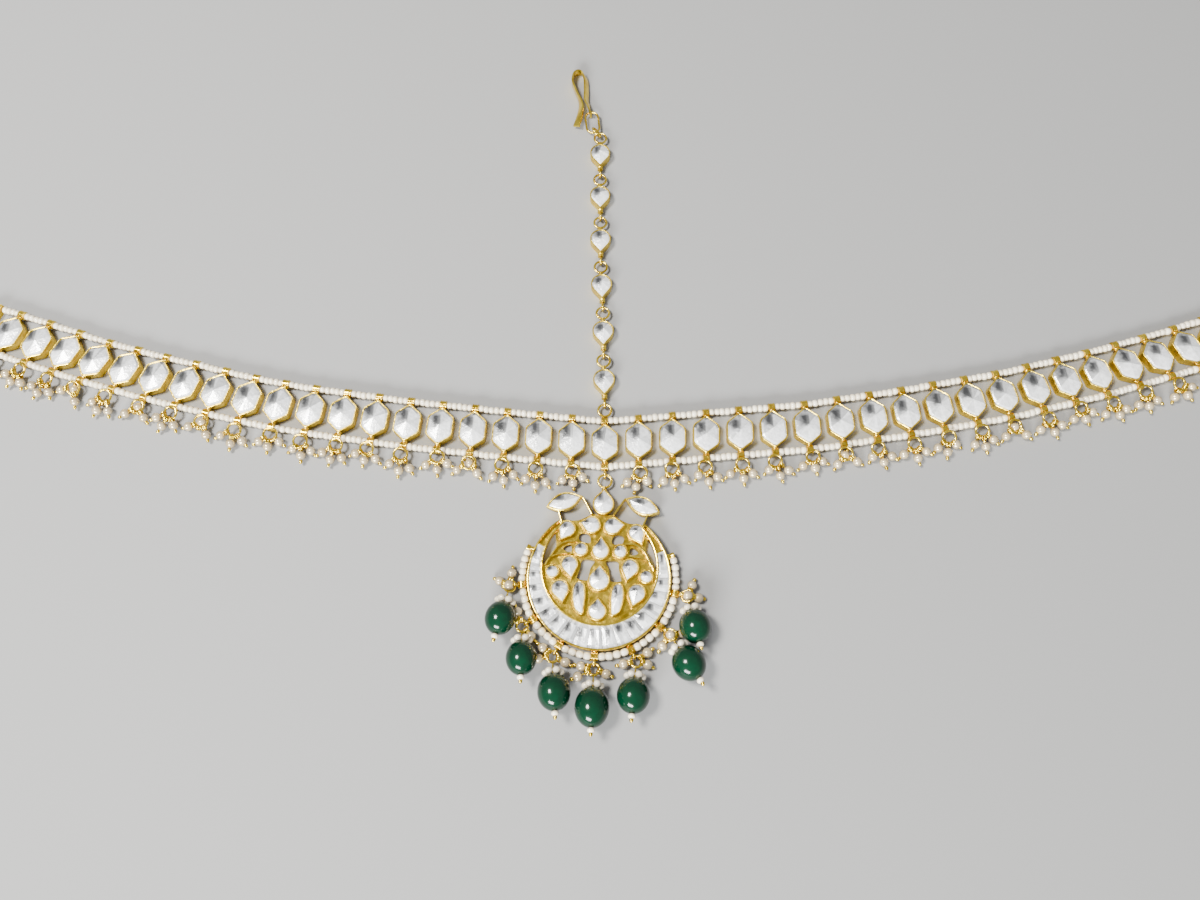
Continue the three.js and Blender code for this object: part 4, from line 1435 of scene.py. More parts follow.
@dataclass
class Band:
    """Hexagonal stones carried between two strings of seed beads, with a fringe of pearls."""

    palette: Palette
    seeds: SeedStrings
    findings: Findings
    dice: random.Random
    half_width: float = 3.65
    shoulder: float = 2.7
    half_height: float = 5.5
    corner: float = 0.7
    tuck: float = 0.06  # how far a stone reaches under its wall
    spacer_reach: float = 6.6
    string_z: float = 1.42
    pitch_left: float = 9.12
    pitch_right: float = 9.33
    each_side: int = 19
    tail: float = 6.2
    seed_pitch: float = 1.46
    spacer_half: float = 0.9
    neck_into: float = 0.45
    ring_radius: float = 1.8
    chain_ring_y: float = 9.82
    ring_z: float = 1.45
    fringe_ring_z: float = 2.25
    fringe_tilt: float = 17
    fringe_lean: float = 0.1
    lay: tuple[tuple[float, float, float], ...] = (
        (-190, 39.6, -18), (-160, 29.9, -23), (-145, 24.9, -30), (-127, 19.9, -21), (-100, 13.2, -16),
        (-86, 10.4, -9.5), (-56, 6.1, -6), (-28, 2.9, -3.4), (0, 0, 0), (28, 2.5, -1.6), (56, 5.0, 2.8),
        (84, 9.3, 6), (112, 14.4, 11.5), (138, 20.8, 16.5), (157, 26.2, 26.5), (166, 28.9, 24),
        (194, 38.0, 18),
    )  # x, rise of the band's middle line and lean of its stones
    fringes: tuple[tuple[Point, Point, Point, Point], ...] = (
        ((0.5, -2.3), (-2.3, -4.7), (0.7, -5.6), (3.3, -3.8)),
        ((0.25, -3.0), (-3.0, -5.4), (0.6, -6.8), (3.2, -5.3)),
        ((-0.2, -2.5), (-2.3, -5.6), (0.6, -6.5), (3.2, -4.9)),
        ((-0.4, -2.8), (-2.2, -4.9), (0.7, -6.7), (3.1, -5.1)),
        ((-0.3, -2.7), (-2.9, -5.4), (-0.2, -7.1), (2.6, -6.0)),
        ((0.0, -2.9), (-3.0, -5.1), (0.1, -3.0), (2.6, -5.7)),
    )  # jump ring and three pearls, from the middle of the lower spacer

    def __post_init__(self) -> None:
        """Works out where the stones lie."""
        left, right = self.side(-1, self.pitch_left), self.side(1, self.pitch_right)
        self.units = [*left[::-1], Unit("middle", 0, 0, 0), *right]

    def side(self, sign: int, pitch: float) -> list[Unit]:
        """The stones of one side, from the middle out.

        Args:
            sign: -1 for the left side and 1 for the right.
            pitch: Distance from stone to stone along the curve.

        Returns:
            The stones.
        """
        made: list[Unit] = []
        x = 0.0
        for n in range(self.each_side):
            slope = self.lie(x)[2]
            x += sign * pitch * math.cos(slope)
            rise, lean, _ = self.lie(x)
            made.append(Unit(f"{'left' if sign < 0 else 'right'}_{n + 1}", x, rise, lean))
        return made

    def lie(self, x: float) -> tuple[float, float, float]:
        """Rise, lean in degrees and slope of the band at a place along it.

        Args:
            x: The place along the band.

        Returns:
            The rise, the lean and the slope.
        """
        after = max(1, next(k for k, row in enumerate(self.lay) if row[0] >= x))
        a, b = self.lay[after - 1], self.lay[after]
        share = (x - a[0]) / (b[0] - a[0])
        slope = math.atan2(b[1] - a[1], b[0] - a[0])
        return a[1] + share * (b[1] - a[1]), a[2] + share * (b[2] - a[2]), slope

    def string(self, reach: float) -> list[Vector]:
        """Where a string crosses each stone's axis, with a tail past each end.

        Args:
            reach: How far along each stone's axis the string runs, downwards if negative.

        Returns:
            The string's points, from left to right.
        """
        points = [unit.place() @ Vector((0, reach, self.string_z)) for unit in self.units]
        first = points[0] + (points[0] - points[1]).normalized() * self.tail
        last = points[-1] + (points[-1] - points[-2]).normalized() * self.tail
        return [first, *points, last]

    def hexagon(self) -> list[Vector]:
        """Outline of a setting, before its corners are eased."""
        w, s, h = self.half_width, self.shoulder, self.half_height
        return flat([(w, -s), (w, s), (0, h), (-w, s), (-w, -s), (0, -h)])

    def spacers(self, shape: Shape) -> None:
        """Adds the ribbed spacers and strings the beads between them.

        Args:
            shape: The piece that the spacers are added to.
        """
        for reach in (self.spacer_reach, -self.spacer_reach):
            points = self.string(reach)
            self.seeds.threads.append(points)
            for before, here, after in zip(points, points[1:], points[2:]):
                shape.lathe(RIBBED, 14, lying(Matrix(), here, after - before), bored=True)
            for k, (a, b) in enumerate(zip(points, points[1:])):
                step = (b - a).normalized() * self.spacer_half
                start = a + step * (0 if k == 0 else 1)
                end = b - step * (0 if k == len(points) - 2 else 1)
                self.seeds.span([start, end], round((end - start).length / self.seed_pitch))

    def necks(self, shape: Shape) -> None:
        """Adds the short gold stem between each stone's tips and its spacers.

        Args:
            shape: The piece that the stems are added to.
        """
        for unit in self.units:
            for sign in (1, -1):
                start = Vector((0, sign * (self.half_height - self.neck_into), self.string_z))
                shape.lathe(NECK, 12, lying(unit.place(), start, UP_CHAIN * sign))

    def fringe(self) -> None:
        """Hangs a jump ring and three pearls below each stone but the middle one."""
        last = -1
        for unit in self.units:
            if unit.name == "middle":
                continue
            pick = self.dice.choice([k for k in range(len(self.fringes)) if k != last])
            last = pick
            ring, *pearls = self.fringes[pick]
            flip = self.dice.choice((1, -1))
            spot = (flip * ring[0], ring[1] - self.spacer_reach, self.fringe_ring_z)
            tilt = Matrix.Rotation(math.radians(self.fringe_tilt), 4, "X")
            tilt @= Matrix.Rotation(flip * self.fringe_lean, 4, "Y")
            place = unit.place() @ Matrix.Translation(spot) @ tilt
            self.findings.ring(place, self.ring_radius)
            for x, y in pearls:
                spot = Vector((flip * x, y - self.spacer_reach, self.findings.pearl_z))
                spot += Vector((self.dice.uniform(-0.15, 0.15), self.dice.uniform(-0.2, 0.2), 0))
                self.findings.pearl_on(place, self.ring_radius, unit.place() @ spot)

    def build(self) -> dict[str, bpy.types.Object]:
        """Makes the settings, stones and spacers.

        Returns:
            The pieces by their names.
        """
        settings = Settings()
        outline = rounded(self.hexagon(), self.corner, 4)
        stone = rounded(inset(self.hexagon(), settings.bezel.wall - self.tuck), self.corner, 2)
        for unit in self.units:
            settings.add(outline, stone, unit.place(), self.dice)
        self.necks(settings.gold)
        spacers = Shape()
        self.spacers(spacers)
        self.fringe()
        self.findings.ring(at_place(0, self.chain_ring_y, 0, self.ring_z), self.ring_radius)
        return {
            "band_settings": settings.gold.build("band_settings", self.palette.satin_gold),
            "band_stones": settings.stones.build("band_stones", self.palette.stone, FLAT_FACETS),
            "band_spacers": spacers.build("band_spacers", self.palette.bright_gold, GOLD_CREASE),
        }


@dataclass
class Clasps:
    """Tapered end plates that both strings run into, each pierced for a pin or ribbon."""

    palette: Palette
    band: Band
    length: float = 9.0
    inner: float = 7.85
    outer: float = 2.2
    gap: float = 0.3
    height: float = 2.7
    hole: float = 1.2
    edge: float = 1.0
    border: Point = (0.35, 0.9)  # from the edge to both sides of the raised border
    raised: float = 0.35
    sunk: float = 0.1
    corners: tuple[float, float, float] = (0.9, 0.7, 0.5)

    def build(self) -> bpy.types.Object:
        """Makes both plates.

        Returns:
            The piece.
        """
        shape = Shape()
        near, far = self.gap, self.length
        corners = flat([(near, -self.inner), (far, -self.outer), (far, self.outer), (near, self.inner)])
        edges = [corners, *(inset(corners, side) for side in self.border)]
        outline, border, inside = (rounded(edge, radius, 5) for edge, radius in zip(edges, self.corners))
        plate = self.height - self.raised
        x = self.length - self.hole - self.edge
        hole = [Vector((x, 0)) + p for p in round_outline(self.hole, 20)][::-1]
        upper, lower = (self.band.string(sign * self.band.spacer_reach) for sign in (1, -1))
        for side, top, low in ((-1, upper[0], lower[0]), (1, upper[-1], lower[-1])):
            across = top - low
            turn = math.degrees(math.atan2(across.y, across.x)) - side * 90
            middle = (top + low) / 2
            place = at_place(middle.x, middle.y, turn)
            shape.prism(outline, 0, plate, [hole], place)
            shape.prism(border, plate - self.sunk, self.height, [inside[::-1]], place)
        return shape.build("end_clasps", self.palette.satin_gold)


# ---------------------------------------------------------------- the chain and its hook


@dataclass
class Chain:
    """Pear stones joined by jump rings, up to the round ring, the oval ring and the hook."""

    palette: Palette
    findings: Findings
    dice: random.Random
    ring_y: float = 9.82
    pitch: float = 15.05
    wander: tuple[float, ...] = (0, -0.3, -0.5, -1.1, -1.2, -1.3, -1.2)
    width: float = 6.1
    length: float = 7.8
    stone_y: float = 8.2
    ring_radius: float = 1.8
    ring_z: float = 1.45
    collar_wide: float = 1.45
    collar_tall: float = 1.35
    collar_out: float = 1.0
    stem_wide: float = 1.1
    stem_into: float = 0.15
    round_ring: tuple[float, float, float, float] = (2.3, 1.7, 29, 54)  # reach, radius, turn, tilt
    oval_ring: tuple[float, float, float, float] = (2.4, 2.0, 3.8, 6)  # reach, half width, half length, turn
    strip: float = 0.6
    strip_width: float = 2.4
    narrower: float = 0.12  # share of the width that a fully turned strip loses
    run_lean: float = 30.0  # degrees that the return run leans, from halfway to its end
    lean_over: float = 0.12  # share of the path in which that lean comes and goes
    tip_lean: float = 74.0
    tip_share: float = 0.22
    hook: tuple[Point, ...] = (
        (-8.6, 104.6), (-7.5, 109.2), (-7.4, 113.4), (-8.9, 117.8), (-10.0, 121.6), (-9.2, 124.6),
        (-7.2, 124.95), (-5.9, 122.6), (-5.6, 118.4), (-5.6, 114.6), (-4.9, 112.2), (-4.2, 108.6),
    )  # the strip's path, from its free tip

    def rings(self) -> list[Vector]:
        """The middle of each flat ring of the chain."""
        return [Vector((x, self.ring_y + k * self.pitch)) for k, x in enumerate(self.wander)]

    def link(self, settings: Settings, start: Vector, end: Vector) -> None:
        """Adds a stone with the loop below it and the ring above it.

        Args:
            settings: Where the stone and its wall are added.
            start: Middle of the ring before it.
            end: Middle of its own ring.
        """
        run = end - start
        place = at_place(start.x, start.y, math.degrees(math.atan2(run.y, run.x)) - 90)
        turned = place @ at_place(0, self.stone_y, 180)
        wall = settings.bezel.wall
        settings.add(
            pear_outline(self.width, self.length, 24),
            pear_outline(self.width - PEAR_LESS[0] * wall, self.length - PEAR_LESS[1] * wall, 13),
            turned,
            self.dice,
        )
        tip, far = self.stone_y - self.length / 2, self.stone_y + self.length / 2
        collar = lying(place, Vector((0, tip - self.collar_out, self.ring_z)), UP_CHAIN)
        barrel(settings.gold, self.collar_wide, self.collar_tall, 12, collar)
        stem = lying(place, Vector((0, far - self.stem_into, self.ring_z)), UP_CHAIN)
        stem_tall = run.length - self.ring_radius - far + 2 * self.stem_into
        barrel(settings.gold, self.stem_wide, stem_tall, 12, stem)
        loop = place @ Matrix.Translation((0, self.ring_radius + 0.1, self.ring_z))
        self.findings.eye(loop, "Y")
        self.findings.ring(place @ Matrix.Translation((0, run.length, self.ring_z)), self.ring_radius)

    def end_rings(self) -> None:
        """Adds the leaning round ring and the long ring that holds the hook."""
        reach, radius, turn, tilt = self.round_ring
        towards = UP_CHAIN.copy()
        towards.rotate(Euler((0, 0, math.radians(turn))))
        middle = self.rings()[-1].to_3d() + towards * reach
        height = radius * math.sin(math.radians(tilt)) + self.findings.wire
        lean = Matrix.Rotation(math.radians(tilt), 4, "Y")
        self.findings.ring(at_place(middle.x, middle.y, turn, height) @ lean, radius)
        long_reach, half_width, half_length, long_turn = self.oval_ring
        low = middle + towards * long_reach
        straight = half_length - half_width
        axis = UP_CHAIN.copy()
        axis.rotate(Euler((0, 0, math.radians(long_turn))))
        centre = low + axis * straight
        place = at_place(centre.x, centre.y, long_turn, self.ring_z)
        oval = [p + Vector((0, math.copysign(straight, p.y))) for p in round_outline(half_width, 26)]
        self.findings.rings.append([place @ p for p in at_height(oval, 0)])

    def hook_piece(self) -> bpy.types.Object:
        """Bends the hook from a flat strip on edge, wider in view on its return run.

        Returns:
            The piece.
        """
        line = smooth_line(flat(self.hook), 8)
        corners = [(-0.5, -0.42), (-0.42, -0.5), (0.42, -0.5), (0.5, -0.42)]
        section = corners + [(-x, -y) for x, y in corners]
        points: list[Vector] = []
        for k, p in enumerate(line):
            share = k / (len(line) - 1)
            ahead, behind = line[min(k + 1, len(line) - 1)], line[max(k - 1, 0)]
            across = Vector((behind.y - ahead.y, ahead.x - behind.x, 0)).normalized()
            comes = min(1.0, max(0.0, (share - 0.5) / self.lean_over))
            goes = min(1.0, (1 - share) / self.lean_over)
            tilt = math.radians(self.run_lean) * comes * goes
            tilt += math.radians(self.tip_lean) * max(0.0, 1 - share / self.tip_share) ** 0.8
            side = across * math.cos(tilt) + Vector((0, 0, math.sin(tilt)))
            up = Vector((0, 0, math.cos(tilt))) - across * math.sin(tilt)
            height = self.strip_width * (1 - self.narrower * abs(math.sin(tilt)))
            middle = p.to_3d() + Vector((0, 0, self.ring_z + 0.05))
            points += [middle + side * x * self.strip + up * y * height for x, y in section]
        shape = Shape()
        shape.add(points, skin(len(line), len(section)))
        return shape.build("hook_strip", self.palette.bright_gold, GOLD_CREASE)

    def build(self) -> dict[str, bpy.types.Object]:
        """Makes the chain's settings and stones and the hook.

        Returns:
            The pieces by their names.
        """
        settings = Settings()
        rings = self.rings()
        for start, end in zip(rings, rings[1:]):
            self.link(settings, start, end)
        self.end_rings()
        return {
            "chain_settings": settings.gold.build("chain_settings", self.palette.satin_gold),
            "chain_stones": settings.stones.build("chain_stones", self.palette.stone, FLAT_FACETS),
            "hook_strip": self.hook_piece(),
        }


# ---------------------------------------------------------------- the pendant


class StoneForm(Enum):
    """Outlines of the pendant's stones."""

    PEAR = "pear"
    ROUND = "round"
    LEAF = "leaf"
    LONG = "long"


@dataclass(frozen=True)
class PendantStone:
    """One stone of the pendant, or a pair of them: point is the direction of its tip in degrees."""

    form: StoneForm
    x: float
    y: float
    width: float = 0.0
    length: float = 0.0
    point: float = 90.0
    pair: bool = False

    def outline(self, smaller: float, points: int) -> list[Vector]:
        """The stone's outline about its own middle, tip upwards.

        Args:
            smaller: How far inside the bezel's edge it lies.
            points: Points of the outline.

        Returns:
            The outline.
        """
        if self.form in (StoneForm.PEAR, StoneForm.LEAF):
            pear = self.form is StoneForm.PEAR
            side, end = PEAR_LESS if pear else LEAF_LESS
            size = self.width - side * smaller, self.length - end * smaller
            return pear_outline(*size, points) if pear else leaf_outline(*size, points)
        if self.form is StoneForm.ROUND:
            return round_outline(self.width / 2 - smaller, points)
        corners = [(6.9, -5.0), (6.6, -2.0), (5.5, -0.8), (3.6, -1.6), (3.1, -4.6), (3.5, -10.2), (6.0, -8.9)]
        middle = Vector((self.x, self.y))
        eased = rounded([Vector(p) - middle for p in corners], 1.1, max(3, points // 7))
        return inset(eased, 0.8 * smaller) if smaller else eased


@dataclass
class Pendant:
    """Crescent pendant: stones on a pierced plate inside a ring of tapered stones."""

    shop: Workshop
    palette: Palette
    seeds: SeedStrings
    findings: Findings
    dice: random.Random
    eye_y: float = -8.9
    turn: float = -3.35
    ring_y: float = 26.55
    tip_y: float = 23.9
    ring_radius: float = 1.8
    ring_z: float = 1.45
    outer: float = 18.8
    inner: float = 14.9
    inner_y: float = 2.9
    start: float = 127
    end: float = 413
    rim: float = 2.85
    wall_size: tuple[float, float] = (0.56, 0.2)  # thickness and edge radius of the crescent's wall
    thin_wall_size: tuple[float, float, float] = (0.42, 2.5, 0.12)  # thickness, height and edge radius
    thin_wall_z: float = 1.3
    end_wall: float = 0.6  # from the end stones to the walls beside them, in degrees
    wall_into: float = 0.2
    stone_count: int = 17
    stones_from: float = 154
    stones_to: float = 386
    end_span: float = 23
    stone_edge: float = 0.5  # from the crescent's edges to its stones
    stone_gap: float = 0.15  # half the gap between two stones, in degrees
    stone_z: float = 2.5
    plate: float = 1.2
    plate_into: float = 0.3  # how far the floor reaches under the crescent
    crescent_floor: float = 1.5
    strand_radius: float = 20.1
    strand_end: float = 110.5
    post_step: float = 27.2
    post_half: float = 0.9
    post_stem: tuple[float, float, float] = (1.1, 1.3, 0.5)  # width, height and how far it sinks in
    lug: tuple[float, float, float] = (1.5, 0.7, 0.4)  # width, reach past the strand, how far it sinks in
    bail: tuple[float, float, float] = (1.2, 0.2, 0.1)  # width, reach into the ring, how far it sinks in
    lug_share: float = 0.6  # of a post's half length, that a lug takes from the strand
    post_seeds: int = 4
    end_seeds: int = 5
    drop_eye: float = 21.9
    plate_side: tuple[Point, ...] = (
        (14.3, 3.7), (12.7, 5.6), (11.8, 8.1), (12.3, 12.4), (10.8, 14.9), (6.6, 15.3), (2.9, 17.2),
    )
    gaps: tuple[tuple[Point, ...], ...] = (
        ((2.8, 9.2), (5.7, 9.5), (6.1, 10.9), (5.6, 11.8), (3.8, 11.9), (2.8, 10.9)),
        ((7.5, 6.6), (9.3, 6.7), (10.2, 7.4), (9.0, 8.4), (7.8, 8.7)),
        (
            (1.2, 4.7), (2.5, 2.4), (2.9, -0.8), (5.0, -0.6), (6.0, -0.4), (5.5, 1.2), (5.0, 2.8),
            (5.0, 4.4), (4.2, 4.9),
        ),
    )
    thin_walls: tuple[tuple[Point, ...], ...] = (
        ((13.4, 4.0), (12.5, 5.9), (11.5, 7.5), (10.1, 8.7), (8.3, 9.4), (5.8, 9.2)),
        ((14.2, 2.6), (13.6, 4.0), (12.8, 4.9), (10.7, 5.8), (8.9, 6.0), (7.4, 5.9)),
        ((7.0, 21.5), (5.8, 21.6), (4.6, 19.9), (2.9, 17.0)),
        ((10.6, 14.0), (11.3, 15.9), (12.0, 17.9)),
    )
    stones: tuple[PendantStone, ...] = (
        PendantStone(StoneForm.PEAR, 0, 20.6, 5.8, 7.1),
        PendantStone(StoneForm.PEAR, 0, 8.0, 4.7, 6.4),
        PendantStone(StoneForm.PEAR, 0, 0.0, 5.7, 7.0),
        PendantStone(StoneForm.PEAR, 0, -8.1, 4.9, 6.1),
        PendantStone(StoneForm.PEAR, 3.2, 14.1, 4.8, 5.8, 8, pair=True),
        PendantStone(StoneForm.PEAR, 9.5, 12.0, 4.6, 6.0, -62, pair=True),
        PendantStone(StoneForm.PEAR, 7.8, 2.4, 4.7, 6.3, -101, pair=True),
        PendantStone(StoneForm.PEAR, 9.8, -4.1, 4.9, 6.4, -105, pair=True),
        PendantStone(StoneForm.ROUND, 5.2, 7.3, 3.9, 3.9, pair=True),
        PendantStone(StoneForm.ROUND, 12.3, 1.0, 3.8, 3.8, pair=True),
        PendantStone(StoneForm.LEAF, 10.5, 20.0, 4.9, 9.9, -20, pair=True),
        PendantStone(StoneForm.LONG, 5.0, -5.0, pair=True),
    )

    def __post_init__(self) -> None:
        """Works out the pendant's own frame, which hangs from the middle stone's eye."""
        self.frame = (
            at_place(0, self.eye_y - self.ring_radius) @ at_place(0, 0, self.turn) @ at_place(0, -self.ring_y)
        )

    def inner_edge(self, degrees: float) -> float:
        """Radius of the crescent's inner edge in a direction."""
        rise = self.inner_y * math.sin(math.radians(degrees))
        return rise + math.sqrt(rise**2 - self.inner_y**2 + self.inner**2)

    def crescent_outline(self, within: float, steps: int) -> list[Vector]:
        """The crescent's outline, moved inwards.

        Args:
            within: How far it is moved.
            steps: Points along each of its two curves.

        Returns:
            The outline.
        """
        trim = math.degrees(within / self.outer)
        angles = [
            self.start + trim + (self.end - self.start - 2 * trim) * k / (steps - 1) for k in range(steps)
        ]
        outer = [polar(self.outer - within, a) for a in angles]
        return outer + [polar(self.inner_edge(a) + within, a) for a in reversed(angles)]

    def crescent_stones(self) -> bpy.types.Object:
        """Cuts the tapered stones that fill the crescent.

        Returns:
            The piece.
        """
        shape = Shape()
        cut = StoneCut(rise=0.5, girdle=1.1, grey=0.45)
        span = (self.stones_to - self.stones_from - 2 * self.end_span) / (self.stone_count - 2)
        first = self.stones_from + self.end_span
        bounds = [self.stones_from, *(first + k * span for k in range(self.stone_count - 1)), self.stones_to]
        for a, b in zip(bounds, bounds[1:]):
            steps = 7 if b - a > 15 else 4
            span = b - a - 2 * self.stone_gap
            angles = [a + self.stone_gap + span * k / steps for k in range(steps + 1)]
            inner = [polar(self.inner_edge(t) + self.stone_edge, t) for t in angles]
            outer = [polar(self.outer - self.stone_edge, t) for t in angles]
            cut.add_streaked(shape, inner, outer, self.stone_z, self.frame, self.dice)
        return shape.build("crescent_stones", self.palette.stone, FLAT_FACETS)

    def plate_outline(self) -> list[Vector]:
        """Outline of the floor behind the stones, let into the crescent.

        Returns:
            The outline.
        """
        right = flat(self.plate_side)
        centre = Vector((0, self.inner_y))
        first = math.atan2(right[0].y - centre.y, right[0].x - centre.x) - math.radians(6)
        steps = 40
        angles = [math.pi - first + k / steps * (math.pi + 2 * first) for k in range(steps + 1)]
        low = [centre + polar(self.inner + self.plate_into, math.degrees(angle)) for angle in angles]
        return [*low, *smooth_line(right, 4), *mirrored(smooth_line(right, 4))]

    def floor(self) -> bpy.types.Object:
        """Makes the pierced floor and the crescent's own floor.

        Returns:
            The piece.
        """
        shape = Shape()
        holes: list[list[Vector]] = []
        for gap in self.gaps:
            eased = rounded(flat(gap), 0.7, 4)
            holes += [eased[::-1], mirrored(eased)[::-1]]
        shape.prism(self.plate_outline(), 0.05, self.plate, holes, self.frame)
        shape.prism(self.crescent_outline(0.1, 60), 0, self.crescent_floor, place=self.frame)
        return shape.build("pendant_floor", self.palette.beaten_gold, FLOOR_CREASE)

    def crescent_wall(self) -> bpy.types.Object:
        """Makes the wall round the crescent.

        Returns:
            The piece.
        """
        thick, soft = self.wall_size
        line = self.crescent_outline(thick / 2, 70)
        lifted = [[self.frame @ p for p in at_height(line, self.rim / 2)]]
        return self.shop.wall(
            "crescent_wall", lifted, (thick, self.rim, soft), self.palette.bright_gold, closed=True
        )

    def thin_wall_piece(self) -> bpy.types.Object:
        """Makes the thin walls inside the crescent, alike on both sides.

        Returns:
            The piece.
        """
        lines: list[list[Vector]] = []
        for path in self.thin_walls:
            line = smooth_line(flat(path), 5)
            lines += [line, mirrored(line)]
        for degrees in (self.stones_from - self.end_wall, self.stones_to + self.end_wall):
            near, far = self.inner_edge(degrees) + self.wall_into, self.outer - self.wall_into
            lines.append([polar(near, degrees), polar(far, degrees)])
        lifted = [[self.frame @ p for p in at_height(line, self.thin_wall_z)] for line in lines]
        return self.shop.wall("thin_walls", lifted, self.thin_wall_size, self.palette.bright_gold)

    def set_stones(self, settings: Settings) -> None:
        """Sets every stone of the plate, with its mirror image where it is one of a pair.

        Args:
            settings: Where the stones and their walls are added.
        """
        for stone in self.stones:
            outline = stone.outline(0.0, 28)
            face = stone.outline(settings.bezel.wall, 12)
            turn = 0.0 if stone.form is StoneForm.LONG else stone.point - 90
            place = self.frame @ at_place(stone.x, stone.y, turn)
            settings.add(outline, face, place, self.dice)
            if stone.pair:
                place = self.frame @ at_place(-stone.x, stone.y, -turn)
                settings.add(mirrored(outline), mirrored(face), place, self.dice)

    def post_angles(self) -> list[float]:
        """Direction of each post from the middle of the crescent's outer edge, in degrees."""
        return [270 + (k - 3) * self.post_step for k in range(7)]

    def strand(self, shape: Shape) -> None:
        """Adds the posts and end eyes and strings the seeds between them.

        Args:
            shape: The piece that the posts and eyes are added to.
        """
        ends = [270 - self.strand_end, 270 + self.strand_end]
        stops = [ends[0], *self.post_angles(), ends[1]]
        last = len(stops) - 2

        def on_strand(degrees: float) -> Vector:
            """A point of the strand's middle line."""
            point = polar(self.strand_radius, degrees).to_3d()
            return self.frame @ point + Vector((0, 0, self.ring_z - 0.03))

        half = math.degrees(self.post_half / self.strand_radius)
        for k, (a, b) in enumerate(zip(stops, stops[1:])):
            low = a + half * (self.lug_share if k == 0 else 1)
            high = b - half * (self.lug_share if k == last else 1)
            line = [on_strand(low + (high - low) * step / 8) for step in range(9)]
            self.seeds.span(line, self.end_seeds if k in (0, last) else self.post_seeds)
        whole = [on_strand(ends[0] + (ends[1] - ends[0]) * k / 60) for k in range(61)]
        self.seeds.threads.append(whole)
        for degrees in self.post_angles():
            along = on_strand(degrees + 1) - on_strand(degrees - 1)
            shape.lathe(RIBBED, 14, lying(Matrix(), on_strand(degrees), along), bored=True)
            out = self.frame @ at_place(0, 0, degrees)
            wide, tall, sunk = self.post_stem
            barrel(shape, wide, tall, 10, lying(out, Vector((self.outer - sunk, 0, self.ring_z)), OUTWARDS))
            eye = out @ Matrix.Translation((self.drop_eye - 0.15, 0, self.ring_z))
            self.findings.eye(eye, "X", 0.8, 14)
        for degrees in ends:
            out = self.frame @ at_place(0, 0, degrees)
            wide, past, sunk = self.lug
            place = lying(out, Vector((self.outer - sunk, 0, self.ring_z)), OUTWARDS)
            barrel(shape, wide, self.strand_radius - self.outer + past + sunk, 12, place)

    def build(self) -> dict[str, bpy.types.Object]:
        """Makes the pendant's own pieces.

        Returns:
            The pieces by their names.
        """
        settings = Settings(bezel=Bezel(wall=0.42, base=0.6, soft=0.15))
        self.set_stones(settings)
        wide, past, sunk = self.bail
        place = lying(self.frame, Vector((0, self.tip_y - sunk, self.ring_z)), UP_CHAIN)
        barrel(settings.gold, wide, self.ring_y - self.ring_radius - self.tip_y + past + sunk, 12, place)
        self.findings.ring(self.frame @ Matrix.Translation((0, self.ring_y, self.ring_z)), self.ring_radius)
        self.findings.eye(Matrix.Translation((0, self.eye_y, self.ring_z)), "Y")
        posts = Shape()
        self.strand(posts)
        return {
            "pendant_settings": settings.gold.build("pendant_settings", self.palette.satin_gold),
            "pendant_stones": settings.stones.build("pendant_stones", self.palette.stone, FLAT_FACETS),
            "crescent_stones": self.crescent_stones(),
            "pendant_floor": self.floor(),
            "crescent_wall": self.crescent_wall(),
            "thin_walls": self.thin_wall_piece(),
            "strand_posts": posts.build("strand_posts", self.palette.bright_gold, GOLD_CREASE),
        }


@dataclass(frozen=True)
class Drop:
    """A green bead's direction and reach from its ring's middle, its size, and its pearls from the eye."""

    direction: float
    reach: float
    width: float
    length: float
    pearls: tuple[Point, ...]


